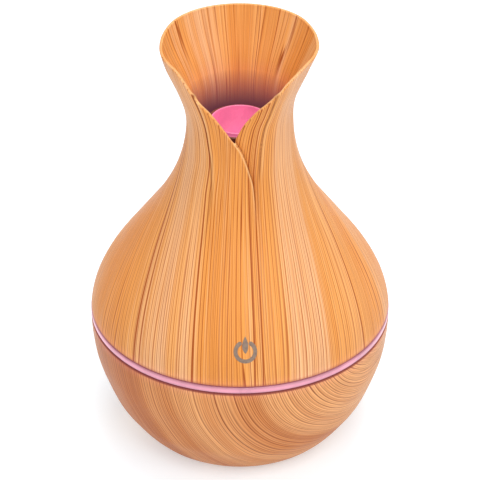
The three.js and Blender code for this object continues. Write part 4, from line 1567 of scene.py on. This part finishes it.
@dataclass
class Bowl:
    """The wood-grain bowl, the water cup inside it and the feet."""

    shop: Workshop
    low: float = 0.8
    high: float = 43.0
    base: float = 31.2
    wall: float = 2.0
    floor: float = 3.2
    arc_azimuth: float = 65.5
    arc_radius: float = 49.0
    arc_rise: float = 8.0
    foot_radius: float = 5.0
    foot_centre: float = 22.0
    collar_inner: float = 34.0
    collar_outer: float = 35.6
    collar_top: float = 47.6
    flange_low: float = 41.6

    def build(self) -> None:
        """Builds every piece of the tank."""
        self.shell()
        self.cup()
        self.lugs()
        self.feet()

    def shell(self) -> None:
        """The wood-grain bowl."""
        outside = [(float(VASE.radius(z)), float(z)) for z in np.linspace(2.6, 42.4, 44)]
        inside = [(r - self.wall, z) for r, z in outside[::-1] if z > self.floor + 0.6]
        rim = float(VASE.radius(self.high))
        section = [
            (0.0, self.low), (self.base, self.low), (self.base + 1.35, 1.45), *outside,
            (rim - 0.02, self.high - 0.25), (rim - 0.3, self.high), (rim - self.wall, self.high),
            *inside, (float(VASE.radius(self.floor)) - self.wall, self.floor), (0.0, self.floor),
        ]
        bowl = turned("bowl_shell", section, 256, 0.3)
        points = np.array([v.co for v in bowl.data.vertices]) / MM
        azimuth = np.degrees(np.arctan2(points[:, 0], -points[:, 1]))
        height = points[:, 2]
        turn = (azimuth - self.arc_azimuth + 180) % 360 - 180
        across = np.radians(np.abs(turn)) * self.arc_radius
        squeeze = 1.25 - 0.25 * smoothstep(across, 25, 75)
        rise = (self.wall_length(self.high + 1.6) + self.arc_rise - self.wall_length(height)) * squeeze
        add_attribute(bowl, "grain", np.stack([across, rise, np.zeros_like(rise)], -1))
        radius = np.hypot(points[:, 0], points[:, 1])
        inner = radius < VASE.radius(height) - 0.9
        # rim 0.6 marks the bowl's inside; from it the film also paints a faint highlight and some shade
        # there.
        add_attribute(bowl, "rim", np.where(inner & (height > 2.0), 0.6, 0.0))
        # Painted shade on the bowl's top edge and top face, in the gap under the band.
        add_attribute(bowl, "line", smoothstep(height, self.high - 0.45, self.high - 0.1))
        bowl.data.materials.append(self.shop.finishes.shaded_bowl_wood)
        self.shop.set_in(bowl, "tank", Slot.WOOD, "lower_bowl")

    def wall_length(self, height: np.ndarray) -> np.ndarray:
        """Length along the wall from the foot up to a height."""
        z = np.linspace(0.0, 60.0, 241)
        step = np.hypot(np.diff(z), np.diff(VASE.radius(z)))
        return np.interp(height, z, np.concatenate([[0.0], np.cumsum(step)]))

    def cup(self) -> None:
        """The white water cup with its flange and filling collar."""
        outer_inset, wall, low = self.wall + 0.4, 1.4, 3.6
        heights = np.linspace(low + 0.8, self.flange_low - 1.5, 22)
        outside = [(float(VASE.radius(z)) - outer_inset, float(z)) for z in heights]
        inside = [(r - wall, z) for r, z in outside[::-1] if z > low + wall + 1.0]
        flange = float(VASE.radius(self.flange_low)) - outer_inset
        section = [
            (0.0, low), (float(VASE.radius(low)) - outer_inset, low), *outside,
            (flange, self.flange_low), (flange, self.high), (self.collar_outer, self.high),
            (self.collar_outer, self.collar_top), (self.collar_inner, self.collar_top),
            (self.collar_inner, self.flange_low), (flange - wall, self.flange_low), *inside,
            (float(VASE.radius(low + wall)) - outer_inset - wall, low + wall), (0.0, low + wall),
        ]
        self.shop.turn_in("water_cup", section, "tank", Slot.WHITE, "tank_liner", columns=192)

    def lugs(self) -> None:
        """Bayonet lugs and stop ribs on the collar, three of each."""
        half, stop, width = 9.0, 10.2, 3.0
        lug = arc_block("lug", -half, half, self.collar_outer - 0.3, 37.2, 45.8, 47.0)
        rib = arc_block("rib", -stop - width, -stop, self.collar_outer - 0.3, 37.2, 44.2, 47.0)
        item = joined("lug", [lug, rib])
        self.shop.ring_in("bayonet_lugs", item, (3, 0.0, 0.0, 0.0), "tank", Slot.WHITE)

    def feet(self) -> None:
        """Four rubber pads with a moulded step."""
        r = self.foot_radius
        section = [(0.0, 0.25), (r - 2.6, 0.25), (r - 2.2, 0.0), (r - 0.3, 0.0), (r, 0.3),
                   (r - 0.15, self.low - 0.02), (0.0, self.low - 0.02)]
        pad = turned("pad", section, 40, 0.12)
        self.shop.ring_in(
            "foot_pads", pad, (4, self.foot_centre, 0.0, 45.0), "tank", Slot.FOOT,
            "foot_1", "foot_2", "foot_3", "foot_4", sharp_angle=40.0)


@dataclass
class MistColumn:
    """The nozzle in the neck, the sleeve round it, and the wick tube below."""

    shop: Workshop
    sleeve_inner: float = 10.0
    sleeve_outer: float = 10.9
    sleeve_high: float = 113.3
    nozzle_top: float = 114.0
    nozzle_outer: float = 9.7
    nozzle_bore: float = 8.7
    nozzle_lip: float = 9.3
    nozzle_low: float = 56.5

    def build(self) -> None:
        """Builds every piece of the column."""
        self.sleeve()
        self.nozzle()
        self.atomiser()
        self.wick_tube()

    def sleeve(self) -> None:
        """The opaque sleeve with its drip plate."""
        i, o = self.sleeve_inner, self.sleeve_outer
        section = [
            (i, 54.3), (13.5, 54.3), (13.5, 55.5), (o, 55.5), (o, 103.0), (14.0, 103.0),
            (14.0, 104.4), (o, 104.4), (o, self.sleeve_high), (i, self.sleeve_high),
        ]
        sleeve = turned("mist_sleeve_tube", section, 96, 0.3, self.shop.finish(Slot.SLEEVE))
        cut_away(sleeve, block("notch", (-14.75, -2.4, 53.3), (-9.25, 2.4, 57.3)))
        self.shop.set_in(sleeve, "head", Slot.SLEEVE, "mist_sleeve")

    def nozzle(self) -> None:
        """The glowing cup on its light-guide tube."""
        bore, outer, top, lip = self.nozzle_bore, self.nozzle_outer, self.nozzle_top, self.nozzle_lip
        section = [
            (bore, self.nozzle_low), (outer, self.nozzle_low), (outer, top - 1.5), (lip, top - 0.9),
            (lip, top), (bore + 0.05, top), (bore, top - 0.5),
        ]
        cup = turned("nozzle", section, 120, 0.12, self.shop.finishes.nozzle)
        self.shop.set_in(cup, "head", Slot.GLOW, "nozzle_cup")

    def atomiser(self) -> None:
        """Clamp ring, gaskets, piezo ring and perforated plate."""
        turn_in = self.shop.turn_in
        clamp = [(3.2, 100.2), (8.4, 100.2), (8.4, 102.6), (6.3, 102.6), (3.5, 101.4), (3.2, 101.0)]
        turn_in("clamp_ring", clamp, "head", Slot.WHITE, "disc_cap", columns=64, corner=0.25)
        plate = [(0.0, 98.7), (5.6, 98.7), (5.6, 98.95), (2.4, 98.95), (1.8, 99.05), (0.9, 99.17),
                 (0.0, 99.2)]
        turn_in("perforated_plate", plate, "head", Slot.STEEL, "mesh_plate", columns=64, corner=0.06)
        for name, node, slot, inner, outer, low, high in (
            ("upper_gasket", "disc_gasket_upper", Slot.SILICONE, 6.0, 7.8, 98.7, 99.9),
            ("lower_gasket", "disc_gasket_lower", Slot.SILICONE, 5.2, 6.6, 96.2, 97.4),
            ("piezo_disc", "piezo_ring", Slot.CERAMIC, 4.2, 8.0, 97.7, 98.4),
        ):
            section = [(inner, low), (outer, low), (outer, high), (inner, high)]
            turn_in(name, section, "head", slot, node, columns=64, corner=0.3)

    def wick_tube(self) -> None:
        """The slotted tube round the wick and its ribbed cap."""
        section = [(4.7, 9.5), (5.8, 9.5), (5.8, 94.4), (8.4, 94.4), (8.4, 95.9), (4.7, 95.9)]
        tube = turned("wick_holder", section, 72, 0.25, self.shop.finish(Slot.WHITE))
        for z in (22.0, 30.0, 38.0):
            cut_away(tube, block("slot", (-1.2, -7, z - 2.5), (1.2, 7, z + 2.5), 0.5))
        cut_away(tube, block("notch", (-9.5, -2.2, 93.6), (-6.5, 2.2, 96.7)))
        self.shop.set_in(tube, "head", Slot.WHITE, "wick_tube")
        cap = [(1.6, 8.0), (6.7, 8.0), (6.95, 8.5), (6.95, 17.0), (6.1, 17.0), (6.1, 9.2), (1.6, 9.2)]
        self.shop.turn_in("wick_cap_body", cap, "head", Slot.WHITE, "wick_cap", columns=72)
        rib = block("rib", (-0.3, -0.2, 9.2), (0.3, 0.2, 16.2), 0.15)
        self.shop.ring_in("wick_cap_grip", rib, (24, 7.0, 0.0, 0.0), "head", Slot.WHITE)


@dataclass
class Wick:
    """The fibre wick and the spring under it."""

    shop: Workshop
    radius: float = 4.0
    low: float = 15.3
    high: float = 98.4
    spring_low: float = 9.55
    spring_high: float = 15.0

    def build(self) -> None:
        """Builds the wick and its spring."""
        section = [(0.0, self.low), (self.radius, self.low), (self.radius, self.high), (0.0, self.high)]
        self.shop.turn_in("fibre_wick", section, "wick", Slot.WICK, "wick", columns=48, corner=0.5)
        spring = self.shop.coil.make(
            "wick_coil_spring", 5.0, 3.4, 0.35, self.spring_low, self.spring_high,
            self.shop.finish(Slot.STEEL))
        self.shop.set_in(spring, "wick", Slot.STEEL, "wick_spring")
        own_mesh(spring)


@dataclass
class HeadFloor:
    """The white floor of the head, its bayonet hooks, the seal and the case screws."""

    shop: Workshop
    case_screw_radius: float = 41.8
    case_seat: float = 46.3
    board_screw_radius: float = 31.0
    board_seat: float = 54.3

    def build(self) -> None:
        """Builds every piece of the head's floor."""
        section = [
            (6.3, 45.0), (8.3, 45.0), (8.3, 49.4), (38.0, 49.4), (38.0, 44.2), (39.4, 44.2),
            (39.4, 46.6), (44.0, 46.6), (44.0, 48.0), (39.4, 48.0), (39.4, 51.0), (6.3, 51.0),
        ]
        floor = turned("head_floor", section, 192, 0.35, self.shop.finish(Slot.WHITE))
        self.shop.set_in(floor, "head", Slot.WHITE, "chassis")
        hook = arc_block("hook", -9.0, 9.0, 36.4, 38.2, 44.2, 45.4)
        self.shop.ring_in("bayonet_hooks", hook, (3, 0.0, 0.0, 30.0), "head", Slot.WHITE)
        rib = block("rib", (-0.6, -33.0, 47.9), (0.6, -8.2, 49.6), 0.3)
        self.shop.ring_in("floor_ribs", rib, (12, 0.0, 0.0, 15.0), "head", Slot.WHITE)
        seal = [(33.7, 47.9), (36.0, 47.9), (35.7, 48.25), (36.3, 48.5), (35.7, 48.75), (36.0, 49.1),
                (33.7, 49.1), (34.0, 48.75), (33.4, 48.5), (34.0, 48.25)]
        self.shop.turn_in("lip_seal", seal, "seal", Slot.SILICONE, "seal_ring", columns=160, corner=0.15)
        self.shop.ring_in(
            "case_screws", screw("screw", 1.9, 1.4, 0.9, 9.0, True),
            (4, self.case_screw_radius, self.case_seat, 45.0), "head", Slot.STEEL,
            *(f"case_screw_{i}" for i in range(1, 5)), sharp_angle=35.0)
        self.shop.ring_in(
            "board_screws", screw("screw", 1.7, 1.2, 0.75, 4.6, False),
            (3, self.board_screw_radius, self.board_seat, 20.0), "head", Slot.STEEL,
            *(f"board_screw_{i}" for i in range(1, 4)), sharp_angle=35.0)


def screw(
    name: str, head: float, head_height: float, shank: float, length: float, upwards: bool
) -> bpy.types.Object:
    """A pan-head screw with a cross recess and a ridged shank.

    Args:
        name: the object's name.
        head: radius of the head.
        head_height: height of the head.
        shank: radius of the shank.
        length: length below the head.
        upwards: whether it points up, its head hanging below its seat.

    Returns:
        The screw, its seat at height 0.
    """
    pitch = 0.6
    thread = []
    for k in range(int((length - 1.4) / pitch)):
        z = 0.3 + k * pitch
        thread += [(shank * 0.82, z), (shank, z + pitch * 0.5)]
    dome = [(head * t, -head_height * (1 - 0.35 * t ** 3)) for t in (0.35, 0.6, 0.8, 0.94)]
    section = [(0.0, -head_height), *dome, (head, -head_height * 0.5), (head, 0.0), (shank * 0.82, 0.0),
               *thread, (shank * 0.8, length - 1.0), (0.0, length)]
    body = turned(name, section, 28, 0.1)
    for x, y in ((0.85, 0.16), (0.16, 0.85)):
        reach = head * 0.75
        cut_away(body, block("recess", (-x * reach, -y * reach, -head_height - 1),
                             (x * reach, y * reach, -head_height * 0.45)))
    if not upwards:
        body.data.transform(Matrix.Rotation(math.pi, 4, "X"))
    return body


@dataclass
class Electronics:
    """The board and what stands on it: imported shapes, dressed, with lights set by rule."""

    shop: Workshop
    lights_radius: float = 41.6
    lights_height: float = 51.3
    dressed: dict[str, Slot] = field(default_factory=lambda: {
        "control_board": Slot.BOARD, "usb_socket": Slot.STEEL, "usb_tongue": Slot.EPOXY,
        "nozzle_led_1": Slot.LED, "nozzle_led_2": Slot.LED, "inductor": Slot.EPOXY,
        "capacitor": Slot.CAN, "controller_chip": Slot.EPOXY, "disc_connector": Slot.WHITE,
        "touch_contact": Slot.BRONZE, "disc_lead_red": Slot.RED_LEAD,
        "disc_lead_black": Slot.BLACK_LEAD,
    })

    def build(self) -> None:
        """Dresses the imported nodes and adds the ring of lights."""
        for node, slot in self.dressed.items():
            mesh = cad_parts[node].data
            mesh.materials.clear()
            mesh.materials.append(self.shop.finish(slot))
            log.info("%s dressed as %s", node, slot.value)
        chip = block("chip", (-1.7, -1.3, -1.0), (1.7, 1.3, 1.0), 0.2)
        self.shop.ring_in(
            "band_lights", chip, (6, self.lights_radius, self.lights_height, 0.0),
            "head", Slot.LED, *(f"ring_led_{i}" for i in range(1, 7)))


# ------------------------------------------------------------------ studio
@dataclass
class Studio:
    """Pale floor, soft light and the camera."""

    distance: float = 700.0
    elevation: float = 32.8
    azimuth: float = -2.1
    aim_height: float = 70.0
    lens: float = 162.2
    shift_up: float = -0.0054

    def build(self) -> None:
        """Sets up the whole studio."""
        self.camera()
        self.floor()
        self.light("key", (80, -560, 780), 420, 3.1)
        self.light("fill", (460, -300, 640), 420, 0.7)
        self.light("top", (60, 160, 900), 500, 3.2)
        world = bpy.data.worlds.new("room")
        world.use_nodes = True
        ground = world.node_tree.nodes["Background"]
        ground.inputs["Color"].default_value = (1.0, 1.0, 1.0, 1.0)
        ground.inputs["Strength"].default_value = 0.78
        bpy.context.scene.world = world
        bpy.context.scene.view_settings.view_transform = "Standard"

    def camera(self) -> None:
        """The camera, a little to the left of the front and looking down."""
        a, e = math.radians(self.azimuth), math.radians(self.elevation)
        away = Vector((math.sin(a) * math.cos(e), -math.cos(a) * math.cos(e), math.sin(e)))
        data = bpy.data.cameras.new("camera")
        data.lens, data.sensor_width, data.shift_y = self.lens, 36.0, self.shift_up
        data.clip_start, data.clip_end = 0.01, 10.0
        camera = bpy.data.objects.new("camera", data)
        camera.location = Vector((0, 0, self.aim_height * MM)) + away * self.distance * MM
        camera.rotation_euler = (-away).to_track_quat("-Z", "Y").to_euler()
        bpy.context.scene.collection.objects.link(camera)
        bpy.context.scene.camera = camera

    def floor(self) -> None:
        """A wide pale floor."""
        reach = 3000.0
        corners = [(-reach, -reach, 0), (reach, -reach, 0), (reach, reach, 0), (-reach, reach, 0)]
        floor = mesh_object("floor", np.array(corners), [(0, 1, 2, 3)])
        s = Shader("pale_floor")
        s.fix(Base_Color=(0.60, 0.67, 0.72, 1.0), Roughness=0.75)
        s.fix(Emission_Color=(1.0, 1.0, 1.0, 1.0), Emission_Strength=0.43)
        floor.data.materials.append(s.material)

    def light(self, name: str, at: Sequence[float], size: float, watts: float) -> None:
        """A soft square light aimed at the vase, placed in millimetres."""
        data = bpy.data.lights.new(name, "AREA")
        data.size, data.energy = size * MM, watts
        lamp = bpy.data.objects.new(name, data)
        lamp.location = Vector(at) * MM
        aim = Vector((0, 0, self.aim_height)) * MM - lamp.location
        lamp.rotation_euler = aim.to_track_quat("-Z", "Y").to_euler()
        bpy.context.scene.collection.objects.link(lamp)


# ------------------------------------------------------------------ making it
def main() -> None:
    """Builds every sub-assembly in order."""
    Studio().build()
    shop = Workshop(Finishes(), RingOfItems(), CoilSpring())
    vase = VaseShell(shop)
    vase.build()
    vase.power_symbol()
    LightBand(shop).build()
    Bowl(shop).build()
    MistColumn(shop).build()
    Wick(shop).build()
    HeadFloor(shop).build()
    Electronics(shop).build()


if __name__ == "__main__":
    logging.basicConfig(level=logging.INFO, format="%(name)s: %(message)s")
    main()
